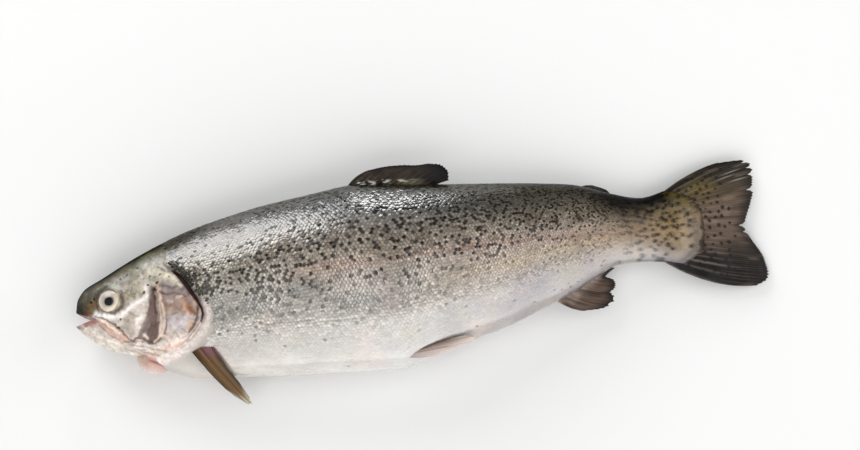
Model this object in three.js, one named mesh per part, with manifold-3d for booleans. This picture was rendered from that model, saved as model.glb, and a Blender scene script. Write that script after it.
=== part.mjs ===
// A whole rainbow trout as caught, life size, lying on its right side with its left flank up.
// Millimetres, +Z up. +X runs from snout to tail, +Y is the fish's back, -Y its belly.
// Profiles are given in the fish's own side view: x from the snout tip, y from the spine's chord.

import * as THREE from "three";
import { mergeVertices } from "three/addons/utils/BufferGeometryUtils.js";
import Module from "manifold-3d";

const wasm = await Module();
wasm.setup();

// ---- Driving dimensions -------------------------------------------------------------------

const TOTAL_LENGTH = 360.8; // snout to the tip of the lower tail lobe
const SNOUT_X = -TOTAL_LENGTH / 2; // the snout tip's place in the part's frame
const CHORD_Y = 1.7; // the spine chord's place in the part's frame
const GAP = 0.3; // clearance between neighbouring pieces
const FLOOR_BLEND = 2; // how softly the lower flank rounds off its flat on the floor
const STALK_X = 283; // where the trunk passes into the tail stalk

// Back, belly, half width and height of the middle plane above the floor, from snout to tail fin.
const BACK = curve([
  [0, 2.2], [1.4, 5.6], [4.7, 9.7], [8.1, 11.8], [14.7, 14.6], [24.6, 19.4], [34.4, 23.9],
  [47.5, 29.1], [62.7, 34], [80, 37.8], [100, 41.4], [121, 43.8], [135, 45.4], [147, 46.6],
  [165, 45], [197, 41.8], [226, 39.3], [247, 37.1], [265, 34.2], [282, 28.1], [298, 24],
  [311, 26.4], [326, 30],
]);
const BELLY = curve([
  [0, -8.6], [1.6, -11.2], [3.6, -13.6], [7, -16.7], [10.6, -19.8], [16, -23], [25.4, -26.3],
  [34, -30.4], [44, -36.6], [52, -40.8], [60, -42.7], [80, -44.8], [111, -47.8], [132, -49],
  [155, -50.4], [167, -50.6], [174, -48], [184, -45.2], [200, -40.6], [216, -36.6], [227, -33.2],
  [238, -28.8], [247, -25.6], [260, -20.2], [271, -14.4], [279.5, -10.4], [293, -9.6],
  [306, -11.1], [326, -15],
]);
const HALF_WIDTH = curve([
  [0, 3.4], [3, 6.6], [10, 10.4], [20, 13.6], [40, 17.8], [62, 21], [85, 23.6], [115, 25.4],
  [150, 26], [180, 25], [210, 21.8], [240, 17], [265, 12.6], [285, 9.2], [302, 6.6], [326, 3.4],
]);
const MID_HEIGHT = curve([
  [0, 15.5], [20, 17], [60, 18.6], [100, 21.6], [150, 22.6], [200, 19.8], [240, 16.2],
  [280, 13.2], [326, 10.2],
]);

// The head's landmarks in the side view.
const EYE = { x: 19.2, y: 1.1, radius: 6.6, half: 4, sunk: 2.1 };
const NOSTRILS = [{ x: 9.2, y: 1.7, r: 0.8 }, { x: 11, y: 3.2, r: 0.65 }];
const MOUTH_LINE = [[11.7, -8], [13, -11.4], [16.3, -14.9], [20.2, -18.3], [23.8, -21]];
const MOUTH_GAPE = { top: [-1, -0.6], bottom: [-1, -7.8] };
const JAW_BACK = [[26, -22.6], [28, -34]];
const UPPER_LIP = [[0, -1.2], ...MOUTH_LINE];
const LOWER_LIP = [[0, -8.2], MOUTH_LINE[0]];
const GILL_EDGE = [
  [53.2, 11.3], [58.6, 3.7], [62.6, -2.9], [66, -8.5], [66.7, -12.4], [65.4, -16], [62.4, -20.4],
  [57.4, -25.4], [51.4, -28.6], [45, -29.8],
];
const NAPE = [[45, 52], [47, 29], [49.4, 17]];
const THROAT = [[38.6, -30.2], [32, -32.4], [28, -44]];
const COVER_FRONT = [
  [40.6, -27.2], [44.4, -22.4], [46, -14], [46.6, -6], [46, 3], [46.4, 9.4], [49.6, 13],
];
const PREOPERCLE = [[41.6, 8.8], [41.6, 0], [40.6, -8], [38.6, -14], [35.4, -19], [31.4, -21]];
const MAXILLA = [
  [11.2, -6], [15.2, -7.4], [19.6, -10.6], [22.8, -13.9], [25, -17], [26.6, -20.4], [24.6, -20.8],
  [20.8, -17.4], [17, -14], [14, -10.9], [12.4, -8.2],
];
const COVER_THICK = 1.7;
const MAXILLA_THICK = 1.2;

// ---- Small helpers --------------------------------------------------------------------------

// A smooth curve through points [x, value], returned as a function of x.
function curve(points) {
  const slope = points.map((p, i) => {
    const a = points[Math.max(i - 1, 0)];
    const b = points[Math.min(i + 1, points.length - 1)];
    return (b[1] - a[1]) / (b[0] - a[0]);
  });
  return (x) => {
    let i = 0;
    while (i < points.length - 2 && x > points[i + 1][0]) i++;
    const [x0, y0] = points[i];
    const [x1, y1] = points[i + 1];
    const span = x1 - x0;
    const t = Math.min(Math.max((x - x0) / span, 0), 1);
    const t2 = t * t;
    const t3 = t2 * t;
    return (
      y0 * (2 * t3 - 3 * t2 + 1) + slope[i] * span * (t3 - 2 * t2 + t) +
      y1 * (3 * t2 - 2 * t3) + slope[i + 1] * span * (t3 - t2)
    );
  };
}

const mix = (a, b, t) => a + (b - a) * t;
const bump = (d, width) => Math.exp(-(d * d) / (width * width));
const place = (x, y, z) => new THREE.Vector3(x + SNOUT_X, y + CHORD_Y, z);

function smoothStep(from, to, value) {
  const t = Math.min(Math.max((value - from) / (to - from), 0), 1);
  return t * t * (3 - 2 * t);
}

// Distance in the side view from a point to a chain of points.
function distanceTo(chain, x, y) {
  let best = Infinity;
  for (let i = 0; i < chain.length - 1; i++) {
    const [ax, ay] = chain[i];
    const dx = chain[i + 1][0] - ax;
    const dy = chain[i + 1][1] - ay;
    const t = Math.min(Math.max(((x - ax) * dx + (y - ay) * dy) / (dx * dx + dy * dy), 0), 1);
    best = Math.min(best, Math.hypot(x - ax - t * dx, y - ay - t * dy));
  }
  return best;
}

// Seeded random numbers, the same on every run.
function randomFrom(seed) {
  let state = seed;
  return () => {
    state = (state * 1664525 + 1013904223) % 4294967296;
    return state / 4294967296;
  };
}

// A closed solid from a geometry with its faces either way out.
function solid(geometry) {
  const bare = geometry.index ? geometry.toNonIndexed() : geometry.clone();
  bare.deleteAttribute("normal");
  bare.deleteAttribute("uv");
  const merged = mergeVertices(bare, 1e-4);
  const triVerts = new Uint32Array(merged.index.array);
  const vertProperties = merged.attributes.position.array;
  const make = () => new wasm.Manifold(new wasm.Mesh({ numProp: 3, vertProperties, triVerts }));
  const made = make();
  if (made.volume() >= 0) return made;
  for (let i = 0; i < triVerts.length; i += 3) {
    [triVerts[i + 1], triVerts[i + 2]] = [triVerts[i + 2], triVerts[i + 1]];
  }
  return make();
}

const largest = (made) => made.decompose().sort((a, b) => b.volume() - a.volume())[0];

// A geometry from rows of points, each row a closed ring, with both ends closed.
function ringsGeometry(rings) {
  const count = rings[0].length;
  const points = rings.flat();
  const faces = [];
  for (let i = 0; i < rings.length - 1; i++) {
    for (let j = 0; j < count; j++) {
      const a = i * count + j;
      const b = i * count + ((j + 1) % count);
      faces.push(a, a + count, b, b, a + count, b + count);
    }
  }
  for (const [ring, turn] of [[0, 1], [rings.length - 1, -1]]) {
    const centre = points.length;
    const sum = new THREE.Vector3();
    rings[ring].forEach((p) => sum.add(p));
    points.push(sum.divideScalar(count));
    for (let j = 0; j < count; j++) {
      const a = ring * count + j;
      const b = ring * count + ((j + 1) % count);
      faces.push(centre, turn > 0 ? a : b, turn > 0 ? b : a);
    }
  }
  return new THREE.BufferGeometry().setFromPoints(points).setIndex(faces);
}

// A tall prism over an outline in the side view, from one height to another.
function prism(outline, low = -60, high = 120) {
  const shape = new THREE.Shape(outline.map(([x, y]) => new THREE.Vector2(x, y)));
  const made = new THREE.ExtrudeGeometry(shape, { depth: high - low, bevelEnabled: false });
  return solid(made.translate(SNOUT_X, CHORD_Y, low));
}

// Outline pushed outwards by a distance, each corner along its mitre.
function grown(outline, by) {
  const area = outline.reduce((sum, [x, y], i) => {
    const [nx, ny] = outline[(i + 1) % outline.length];
    return sum + x * ny - nx * y;
  }, 0);
  return outline.map(([x, y], i) => {
    const [px, py] = outline[(i + outline.length - 1) % outline.length];
    const [nx, ny] = outline[(i + 1) % outline.length];
    const along = new THREE.Vector2(nx - px, ny - py).normalize();
    const out = Math.sign(area) * by;
    return [x + along.y * out, y - along.x * out];
  });
}

// ---- The body's skin ------------------------------------------------------------------------

// Bone and muscle relief of the head, as a height over the smooth body.
function headRelief(x, y) {
  const cover = smoothStep(39, 52, x) * smoothStep(19, 9, y) * smoothStep(-34, -26, y);
  const groove = bump(distanceTo(PREOPERCLE, x, y), 2.2);
  const fromEye = Math.hypot(x - EYE.x, y - EYE.y);
  const rim = bump(fromEye - 7.8, 1.8);
  const cheek = bump(Math.hypot(x - 31, (y + 8) * 0.8), 8);
  const lips = bump(Math.min(distanceTo(UPPER_LIP, x, y), distanceTo(LOWER_LIP, x, y)), 1.7);
  return 0.9 * cover - 0.8 * groove + 0.45 * rim + 0.7 * cheek + 0.6 * lips;
}

// The shoulder girdle dips in just behind the gill opening.
function shoulderRelief(x, y) {
  return -1.1 * bump(distanceTo(GILL_EDGE, x, y), 5) * smoothStep(22, 12, y);
}

// The lowest part of the lying body is pressed flat at floor level.
function onFloor(z) {
  if (z >= FLOOR_BLEND) return z;
  if (z <= -FLOOR_BLEND) return 0;
  return (z + FLOOR_BLEND) ** 2 / (4 * FLOOR_BLEND);
}

// A point of the skin, turn 0 at the back, a quarter at the upper flank, a half at the belly.
function skinPoint(x, turn, relief) {
  const angle = turn * Math.PI * 2;
  const back = BACK(x);
  const belly = BELLY(x);
  const c = Math.cos(angle);
  const s = Math.sin(angle);
  const y = (back + belly) / 2 + ((back - belly) / 2) * c;
  const fullness = c > 0 ? 0.98 : mix(0.98, 0.9, smoothStep(0, 1, -c));
  const side = Math.sign(s) * Math.abs(s) ** fullness;
  const height = (HALF_WIDTH(x) + relief(x, y) * Math.abs(s)) * side;
  return place(x, y, onFloor(MID_HEIGHT(x) + height));
}

function skinNormal(x, turn, relief) {
  const ahead = skinPoint(x + 0.5, turn, relief).sub(skinPoint(x - 0.5, turn, relief));
  const round = skinPoint(x, turn + 0.005, relief).sub(skinPoint(x, turn - 0.005, relief));
  return round.cross(ahead).normalize();
}

// A length of the body, its whole skin moved out by a distance (in, if it is negative).
function bodyLength({ from, to, stations, around, relief, out = 0, denserFront = 1 }) {
  const rings = [];
  for (let i = 0; i <= stations; i++) {
    const x = mix(from, to, (i / stations) ** denserFront);
    const ring = [];
    for (let j = 0; j < around; j++) {
      const p = skinPoint(x, j / around, relief);
      if (out) p.addScaledVector(skinNormal(x, j / around, relief), out);
      ring.push(p);
    }
    rings.push(ring);
  }
  return solid(ringsGeometry(rings));
}

// The skin's height on the upper (side 1) or lower (side -1) flank at a place in the side view.
function flankHeight(x, y, side, relief) {
  const back = BACK(x);
  const belly = BELLY(x);
  const c = Math.min(Math.max((y - (back + belly) / 2) / ((back - belly) / 2), -1), 1);
  const turn = Math.acos(c) / (Math.PI * 2);
  return skinPoint(x, side > 0 ? turn : 1 - turn, relief).z;
}

// ---- Trunk, tail stalk and head ---------------------------------------------------------------

const plain = () => 0;
const HEAD_LINE = [...NAPE, ...GILL_EDGE, ...THROAT];
const BEHIND_HEAD = [...HEAD_LINE, [STALK_X, -80], [STALK_X, 80], [46, 80]];
const BEFORE_TRUNK = [...HEAD_LINE.map(([x, y]) => [x - GAP, y]), [-30, -44], [-30, 52]];

const trunkSpan = { from: 28, to: STALK_X + 1, stations: 32, around: 32, relief: shoulderRelief };
const stalkSpan = { from: STALK_X - 1, to: 326, stations: 9, around: 24, relief: plain };
const headSpan = { from: 0, to: 68, stations: 30, around: 40, relief: headRelief, denserFront: 1.3 };

const STALK_OUTLINE = [
  [STALK_X + GAP, 60], [STALK_X + GAP, -60], [305, -60], [306.5, -14], [311.5, -8.6], [319, -4],
  [323, 2], [324.6, 8.6], [324, 15.4], [321, 22.6], [312.6, 26.6], [307, 60],
];

const trunk = bodyLength(trunkSpan).intersect(prism(BEHIND_HEAD));
const stalk = bodyLength(stalkSpan).intersect(prism(STALK_OUTLINE));
const wholeHead = bodyLength(headSpan).intersect(prism(BEFORE_TRUNK));
const headAtDepth = (depth) => bodyLength({ ...headSpan, out: -depth });

// A thin bone plate let into the head's side, and the room that it needs.
function headPlate(outline, thick, side) {
  const [low, high] = side > 0 ? [18, 120] : [-60, 18 - GAP];
  const mould = prism(outline, low, high);
  const room = prism(grown(outline, GAP), low - GAP, high + GAP);
  return {
    plate: wholeHead.subtract(headAtDepth(thick)).intersect(mould),
    pocket: room.subtract(headAtDepth(thick + GAP)),
  };
}

const COVER_OUTLINE = [...COVER_FRONT, ...GILL_EDGE];
const covers = [1, -1].map((side) => headPlate(COVER_OUTLINE, COVER_THICK, side));
const maxillae = [1, -1].map((side) => headPlate(MAXILLA, MAXILLA_THICK, side));

// The eyes are flattened balls that look square out of the head's side.
function eyeBall(side, extra) {
  const made = new THREE.SphereGeometry(1, 24, 16);
  made.rotateX(Math.PI / 2);
  made.scale(EYE.radius + extra, EYE.radius + extra, EYE.half + extra);
  const skin = flankHeight(EYE.x, EYE.y, side, headRelief);
  const out = new THREE.Vector3(-0.16, 0.1, side).normalize();
  made.applyQuaternion(new THREE.Quaternion().setFromUnitVectors(new THREE.Vector3(0, 0, 1), out));
  const centre = place(EYE.x, EYE.y, skin).addScaledVector(out, -EYE.sunk);
  return solid(made.translate(centre.x, centre.y, centre.z));
}

function nostril(spot, side) {
  const skin = flankHeight(spot.x, spot.y, side, headRelief);
  const made = new THREE.CylinderGeometry(spot.r, spot.r * 0.7, 3, 10);
  made.rotateX(Math.PI / 2);
  const centre = place(spot.x, spot.y, skin + side * 0.3);
  return solid(made.translate(centre.x, centre.y, centre.z));
}

// The mouth stands a little open in front and is shut along the maxilla.
const GAPE = prism([MOUTH_GAPE.top, MOUTH_LINE[0], MOUTH_GAPE.bottom]);
const JAW_OUTLINE = [...MOUTH_LINE, ...JAW_BACK, [-6, -31], [-6, -6.4]];
const JAW_CUT = grown(JAW_OUTLINE, GAP);

let head = wholeHead.subtract(prism(JAW_CUT)).subtract(GAPE);
let lowerJaw = wholeHead.intersect(prism(JAW_OUTLINE)).subtract(GAPE);
for (const { pocket } of [...covers, ...maxillae]) {
  head = head.subtract(pocket);
  lowerJaw = lowerJaw.subtract(pocket);
}
for (const side of [1, -1]) {
  head = head.subtract(eyeBall(side, GAP));
  for (const spot of NOSTRILS) head = head.subtract(nostril(spot, side));
}

// The pink flesh of the isthmus bulges out below the throat, between the gill covers.
const ISTHMUS = { x: 37.2, y: -33, long: 8, deep: 4.7, half: 7, slope: -0.4 };

function isthmusLobe() {
  const made = new THREE.SphereGeometry(1, 20, 12);
  made.scale(ISTHMUS.long, ISTHMUS.deep, ISTHMUS.half);
  made.rotateZ(ISTHMUS.slope);
  const centre = place(ISTHMUS.x, ISTHMUS.y, MID_HEIGHT(ISTHMUS.x));
  return solid(made.translate(centre.x, centre.y, centre.z));
}

const gapped = { out: GAP };
const headSkin = bodyLength({ ...headSpan, ...gapped }).intersect(prism(grown(BEFORE_TRUNK, GAP)));
const trunkSkin = bodyLength({ ...trunkSpan, ...gapped }).intersect(prism(grown(BEHIND_HEAD, GAP)));
const stalkSkin = bodyLength({ ...stalkSpan, ...gapped }).intersect(prism(grown(STALK_OUTLINE, GAP)));
const isthmus = isthmusLobe().subtract(headSkin).subtract(trunkSkin);

// ---- Fins -----------------------------------------------------------------------------------

// A fin as a thin closed sheet with a ridge along each ray. root and tip give the ends of the ray
// at a share u of the way along the fin, and bow moves a ray's middle off the straight line.
function fin({ rays, rows, root, tip, bow, thick, edge, ridge, notch, ragged = 0, seed = 1 }) {
  const random = randomFrom(seed);
  const columns = 2 * (rays - 1);
  const reach = [];
  for (let c = 0; c <= columns; c++) {
    reach.push(c % 2 ? 1 - notch : 1 - ragged * random());
  }
  const at = (u, v) => {
    const a = root(u);
    const b = tip(u);
    const middle = a.clone().lerp(b, 0.5).add(bow(u));
    return a.multiplyScalar((1 - v) ** 2)
      .add(middle.multiplyScalar(2 * v * (1 - v)))
      .add(b.multiplyScalar(v * v));
  };
  const upper = [];
  const lower = [];
  for (let c = 0; c <= columns; c++) {
    for (let r = 0; r <= rows; r++) {
      const u = c / columns;
      const v = (r / rows) * reach[c];
      const p = at(u, v);
      const across = at(Math.min(u + 0.02, 1), v).sub(at(Math.max(u - 0.02, 0), v));
      const along = at(u, Math.min(v + 0.02, 1)).sub(at(u, Math.max(v - 0.02, 0)));
      const normal = along.cross(across).normalize();
      const ray = c % 2 ? 0 : ridge * (1 - 0.6 * v);
      const half = mix(thick, edge, Math.sqrt(v)) / 2 + ray;
      upper.push(p.clone().addScaledVector(normal, half));
      lower.push(p.addScaledVector(normal, -half));
    }
  }
  const faces = [];
  const wide = rows + 1;
  const offset = upper.length;
  const quad = (a, b, c, d) => faces.push(a, b, c, a, c, d);
  for (let c = 0; c < columns; c++) {
    for (let r = 0; r < rows; r++) {
      const a = c * wide + r;
      quad(a, a + 1, a + 1 + wide, a + wide);
      faces.push(offset + a, offset + a + 1 + wide, offset + a + 1);
      faces.push(offset + a, offset + a + wide, offset + a + 1 + wide);
    }
    const near = c * wide;
    const far = near + rows;
    quad(near, near + wide, offset + near + wide, offset + near);
    quad(far + wide, far, offset + far, offset + far + wide);
  }
  for (let r = 0; r < rows; r++) {
    const last = columns * wide + r;
    quad(r + 1, r, offset + r, offset + r + 1);
    quad(last, last + 1, offset + last + 1, offset + last);
  }
  return solid(new THREE.BufferGeometry().setFromPoints([...upper, ...lower]).setIndex(faces));
}

// A path in space through points [u, x, y, z] of the side view and height.
function path(points) {
  const [x, y, z] = [1, 2, 3].map((k) => curve(points.map((p) => [p[0], p[k]])));
  return (u) => place(x(u), y(u), z(u));
}

const caudal = fin({
  rays: 17, rows: 6, thick: 3.4, edge: 0.6, ridge: 0.16, notch: 0.035, ragged: 0.03, seed: 7,
  root: path([
    [0, 306, 23, 11], [0.14, 317, 21.4, 10.5], [0.32, 320.6, 16, 10.3], [0.5, 321.4, 8, 10.2],
    [0.7, 318.6, 0, 10.3], [0.86, 311, -5.4, 10.6], [1, 303.6, -9, 11],
  ]),
  tip: path([
    [0, 342, 38.8, 6.8], [0.07, 357.6, 38.4, 6], [0.2, 359.6, 30, 5.4], [0.36, 357.4, 17, 5],
    [0.5, 351.6, 4, 4.8], [0.6, 353.6, -2.4, 4.6], [0.78, 359.4, -13, 4], [0.92, 361.4, -22.6, 3.6],
    [1, 354, -27.8, 4.2],
  ]),
  bow: (u) => new THREE.Vector3(0, mix(3, -3, u) + 2.6 * Math.abs(1 - 2 * u) ** 6 * mix(1, -1, u), -0.6),
}).subtract(stalkSkin);

const backAt = (x, deeper) => [x, BACK(x) - deeper, MID_HEIGHT(x)];

const dorsal = fin({
  rays: 11, rows: 5, thick: 1.9, edge: 0.7, ridge: 0.16, notch: 0.04, ragged: 0.05, seed: 3,
  root: path([[0, ...backAt(145, 2)], [0.5, ...backAt(166, 2)], [1, ...backAt(187, 2)]]),
  tip: path([
    [0, 159, 54.6, 25], [0.2, 170, 55.6, 26], [0.45, 184, 53.4, 26.4], [0.7, 194, 52.6, 26],
    [0.88, 199.6, 48.6, 25], [1, 199.4, 43.4, 23.6],
  ]),
  bow: (u) => new THREE.Vector3(mix(-2.4, 0, u), 0.6 + 2.2 * (1 - u), 0.8),
}).subtract(trunkSkin);

const bellyAt = (x, deeper) => [x, BELLY(x) + deeper, MID_HEIGHT(x)];

const anal = fin({
  rays: 10, rows: 5, thick: 1.8, edge: 0.7, ridge: 0.16, notch: 0.06, ragged: 0.1, seed: 5,
  root: path([[0, ...bellyAt(246, 2)], [0.5, ...bellyAt(261, 2)], [1, ...bellyAt(276, 2)]]),
  tip: path([
    [0, 264, -32.4, 11.6], [0.2, 277.4, -29.4, 10.6], [0.5, 279, -22.8, 10.2],
    [0.8, 278.6, -15.6, 10.4], [1, 279.6, -11.4, 11],
  ]),
  bow: (u) => new THREE.Vector3(mix(-1, -0.4, u), mix(-3, -1.2, u), 0),
}).subtract(trunkSkin);

// Held low over the back, as it dries flat on a dead fish.
const adipose = fin({
  rays: 4, rows: 4, thick: 2, edge: 0.9, ridge: 0, notch: 0, seed: 9,
  root: path([[0, ...backAt(266, 1.6)], [1, ...backAt(273.4, 1.6)]]),
  tip: path([[0, 275, 34.2, 6.6], [0.5, 281, 31.6, 6], [1, 283, 29, 6.6]]),
  bow: (u) => new THREE.Vector3(mix(-1.4, 0, u), 1.4, -0.6),
}).subtract(trunkSkin).subtract(stalkSkin);

// A place a little under the skin of the upper (side 1) or lower (side -1) flank.
const inFlank = (x, y, side, deep) => [x, y, flankHeight(x, y, side, shoulderRelief) - side * deep];

const pectoralShape = {
  rays: 10, rows: 7, thick: 2.2, edge: 0.6, ridge: 0.16, notch: 0.03, ragged: 0.04, seed: 13,
};
const pectoralLeft = fin({
  ...pectoralShape,
  root: path([
    [0, ...inFlank(60, -33.6, 1, 1)], [0.5, ...inFlank(65, -33, 1, 1)],
    [1, ...inFlank(70, -32.4, 1, 1)],
  ]),
  tip: path([[0, 77, -54, 9], [0.4, 83.4, -58.4, 7], [0.75, 84, -56.2, 8], [1, 82, -51.6, 11]]),
  bow: (u) => new THREE.Vector3(mix(-2.6, -0.6, u), -1.6, 17),
}).subtract(trunkSkin);

const pectoralRight = fin({
  ...pectoralShape,
  root: path([[0, 60, -35, 9.2], [0.5, 63.4, -33, 7.6], [1, 66.6, -31.4, 6.4]]),
  tip: path([[0, 96, -43.6, 3.2], [0.4, 104, -43, 3], [0.7, 102, -39.4, 2.4], [1, 96, -36, 1.9]]),
  bow: () => new THREE.Vector3(0, -1.2, -2.6),
}).subtract(trunkSkin).subtract(headSkin);

const pelvicShape = {
  rays: 9, rows: 5, thick: 1.8, edge: 0.6, ridge: 0.15, notch: 0.04, ragged: 0.05, seed: 17,
};
const pelvicLeft = fin({
  ...pelvicShape,
  root: path([
    [0, ...inFlank(166.6, -46.4, 1, 1)], [0.5, ...inFlank(170, -44, 1, 1)],
    [1, ...inFlank(173.6, -42, 1, 1)],
  ]),
  tip: path([[0, 188, -46.4, 31], [0.4, 201, -43, 31.4], [0.75, 203, -40, 32.4], [1, 196, -38.6, 34.4]]),
  bow: () => new THREE.Vector3(-1, -1.4, 4.4),
}).subtract(trunkSkin);

const pelvicRight = fin({
  ...pelvicShape,
  root: path([[0, 168.4, -45.8, 15.2], [0.5, 172, -43.4, 13.2], [1, 175.6, -41.2, 11.4]]),
  tip: path([[0, 192, -41.6, 8], [0.4, 202, -38.4, 6.6], [0.75, 202.6, -35, 5.4], [1, 196, -33, 4]]),
  bow: () => new THREE.Vector3(-1, -1.6, -3.4),
}).subtract(trunkSkin);

// ---- The finished group ---------------------------------------------------------------------

function material(colour, roughness = 0.4) {
  return new THREE.MeshStandardMaterial({ color: colour, roughness, metalness: 0 });
}

const FLANK = material(0xa8a294, 0.35);
const HEAD_SKIN = material(0xb7ab98, 0.4);
const PALE_SKIN = material(0xd5cdc2, 0.4);
const BONE_PLATE = material(0xb9a48f, 0.35);
const FLESH = material(0xdc9d92, 0.45);
const TAIL_FIN = material(0x57493a, 0.5);
const BODY_FIN = material(0x6d5a3e, 0.5);
const EYE_GLOSS = material(0xcfc8b4, 0.15);

const trout = new THREE.Group();

function add(name, made, look) {
  const mesh = largest(made).getMesh();
  const geometry = new THREE.BufferGeometry();
  const vertices = new Float32Array(mesh.vertProperties);
  geometry.setAttribute("position", new THREE.BufferAttribute(vertices, 3));
  geometry.setIndex(new THREE.BufferAttribute(new Uint32Array(mesh.triVerts), 1));
  geometry.computeVertexNormals();
  const piece = new THREE.Mesh(geometry, look);
  piece.name = name;
  trout.add(piece);
}

add("head", head, HEAD_SKIN);
add("lower_jaw", lowerJaw, PALE_SKIN);
add("gill_cover_left", covers[0].plate, BONE_PLATE);
add("gill_cover_right", covers[1].plate, BONE_PLATE);
add("maxilla_left", maxillae[0].plate, PALE_SKIN);
add("maxilla_right", maxillae[1].plate, PALE_SKIN);
add("eye_left", eyeBall(1, 0), EYE_GLOSS);
add("eye_right", eyeBall(-1, 0), EYE_GLOSS);
add("isthmus", isthmus, FLESH);
add("torso", trunk, FLANK);
add("tail_stalk", stalk, FLANK);
add("tail_fin", caudal, TAIL_FIN);
add("dorsal_fin", dorsal, TAIL_FIN);
add("adipose_fin", adipose, BODY_FIN);
add("anal_fin", anal, TAIL_FIN);
add("pectoral_fin_left", pectoralLeft, BODY_FIN);
add("pectoral_fin_right", pectoralRight, BODY_FIN);
add("pelvic_fin_left", pelvicLeft, BODY_FIN);
add("pelvic_fin_right", pelvicRight, BODY_FIN);

export default trout;
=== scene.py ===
"""A whole rainbow trout as caught, wet, lying on its right side with its left flank up.

Sizes here are millimetres in the fish's own side view: x from the snout tip towards the tail,
y from the spine's chord towards the back, z up from the floor. `metres` turns a point of that
view into the frame. A turn of 0 is the back, a quarter the upper flank and a half the belly.
"""
import math
from itertools import product

import bmesh
import bpy
import numpy as np
from mathutils import Matrix, Vector


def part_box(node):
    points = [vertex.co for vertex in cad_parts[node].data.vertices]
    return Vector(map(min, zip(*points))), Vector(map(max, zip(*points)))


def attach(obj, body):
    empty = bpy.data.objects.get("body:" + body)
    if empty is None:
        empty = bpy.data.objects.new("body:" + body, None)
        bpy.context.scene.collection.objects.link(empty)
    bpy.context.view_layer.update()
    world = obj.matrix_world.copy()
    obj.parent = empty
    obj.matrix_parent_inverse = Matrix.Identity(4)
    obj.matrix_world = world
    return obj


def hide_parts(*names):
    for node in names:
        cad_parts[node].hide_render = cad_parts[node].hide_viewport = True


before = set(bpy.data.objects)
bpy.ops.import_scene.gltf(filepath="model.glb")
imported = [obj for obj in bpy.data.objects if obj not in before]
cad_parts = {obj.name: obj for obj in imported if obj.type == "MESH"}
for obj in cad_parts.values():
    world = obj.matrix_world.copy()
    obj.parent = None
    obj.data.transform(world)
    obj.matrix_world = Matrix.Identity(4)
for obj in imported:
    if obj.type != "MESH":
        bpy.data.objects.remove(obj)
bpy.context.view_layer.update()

MM = 0.001
SNOUT_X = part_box("head")[0].x / MM  # the snout tip in the frame
CHORD_Y = 1.7  # the spine's chord in the frame


# ---- Small mathematics ----

def curve(points):
    """A smooth curve through points (x, value), as a function of x."""
    xs, ys = (np.array(c, float) for c in zip(*points))
    last = len(xs) - 1
    before = np.maximum(np.arange(last + 1) - 1, 0)
    after = np.minimum(np.arange(last + 1) + 1, last)
    slope = (ys[after] - ys[before]) / (xs[after] - xs[before])

    def value(x):
        x = np.clip(np.asarray(x, float), xs[0], xs[-1])
        i = np.clip(np.searchsorted(xs, x, side="right") - 1, 0, last - 1)
        span = xs[i + 1] - xs[i]
        t = (x - xs[i]) / span
        t2, t3 = t * t, t * t * t
        return (ys[i] * (2 * t3 - 3 * t2 + 1) + slope[i] * span * (t3 - 2 * t2 + t)
                + ys[i + 1] * (3 * t2 - 2 * t3) + slope[i + 1] * span * (t3 - t2))
    return value


def smooth(start, end, value):
    """A soft step from 0 at start to 1 at end."""
    t = np.clip((value - start) / (end - start), 0, 1)
    return t * t * (3 - 2 * t)


def mix(a, b, t):
    return a + (b - a) * t


def bump(distance, width):
    """1 at no distance, falling to nothing past a width."""
    return np.exp(-(distance / width) ** 2)


CELLS = 32  # the noise repeats after this many cells
LATTICE = np.random.default_rng(11).random((CELLS, CELLS, CELLS)) * 2 - 1


def noise(points, size, seed=0):
    """Smooth noise from -1 to 1 with features of about a size, at points of any number."""
    q = np.asarray(points, float) / size + seed * 7.31
    cell = np.floor(q).astype(int)
    part = q - cell
    part = part * part * (3 - 2 * part)
    total = np.zeros(q.shape[:-1])
    for corner in product((0, 1), repeat=3):
        weight = np.ones(q.shape[:-1])
        for axis, one in enumerate(corner):
            weight = weight * (part[..., axis] if one else 1 - part[..., axis])
        at = (cell + np.array(corner)) % CELLS
        total += weight * LATTICE[at[..., 0], at[..., 1], at[..., 2]]
    return total


def fractal(points, size, octaves=3, seed=0):
    """Noise with finer noise over it, each octave half the size and half as strong."""
    total = 0
    for k in range(octaves):
        total = total + noise(points, size / 2 ** k, seed + k) / 2 ** k
    return total


def distance_to(chain, x, y):
    """Distance in the side view from points to a chain of points."""
    best = np.full(np.shape(x), np.inf)
    for (ax, ay), (bx, by) in zip(chain[:-1], chain[1:]):
        dx, dy = bx - ax, by - ay
        t = np.clip(((x - ax) * dx + (y - ay) * dy) / (dx * dx + dy * dy), 0, 1)
        best = np.minimum(best, np.hypot(x - ax - t * dx, y - ay - t * dy))
    return best


def stroke(chain, x, y, width):
    """1 on a chain of points in the side view, falling to nothing past a width."""
    return bump(distance_to(chain, x, y), width)


def depth_in(outline, x, y):
    """How far points of the side view lie inside an outline, less than nothing outside it."""
    inside = np.zeros(np.shape(x), bool)
    for (ax, ay), (bx, by) in zip(outline, outline[1:] + outline[:1]):
        crosses = (ay > y) != (by > y)
        rise = by - ay if by != ay else 1e-9
        inside ^= crosses & (x < (bx - ax) * (y - ay) / rise + ax)
    edge = distance_to(outline + outline[:1], x, y)
    return np.where(inside, edge, -edge)


def soft_patch(x, y, middle, radii):
    """1 in the middle of a patch, falling to nothing past its two radii."""
    return bump(np.hypot((x - middle[0]) / radii[0], (y - middle[1]) / radii[1]), 1)


def flecks(p, size, seed, low, high, octaves=3):
    """Flecks of about a size: 0 where the noise is under low, 1 where it is over high."""
    return smooth(low, high, fractal(p, size, octaves, seed))


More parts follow.
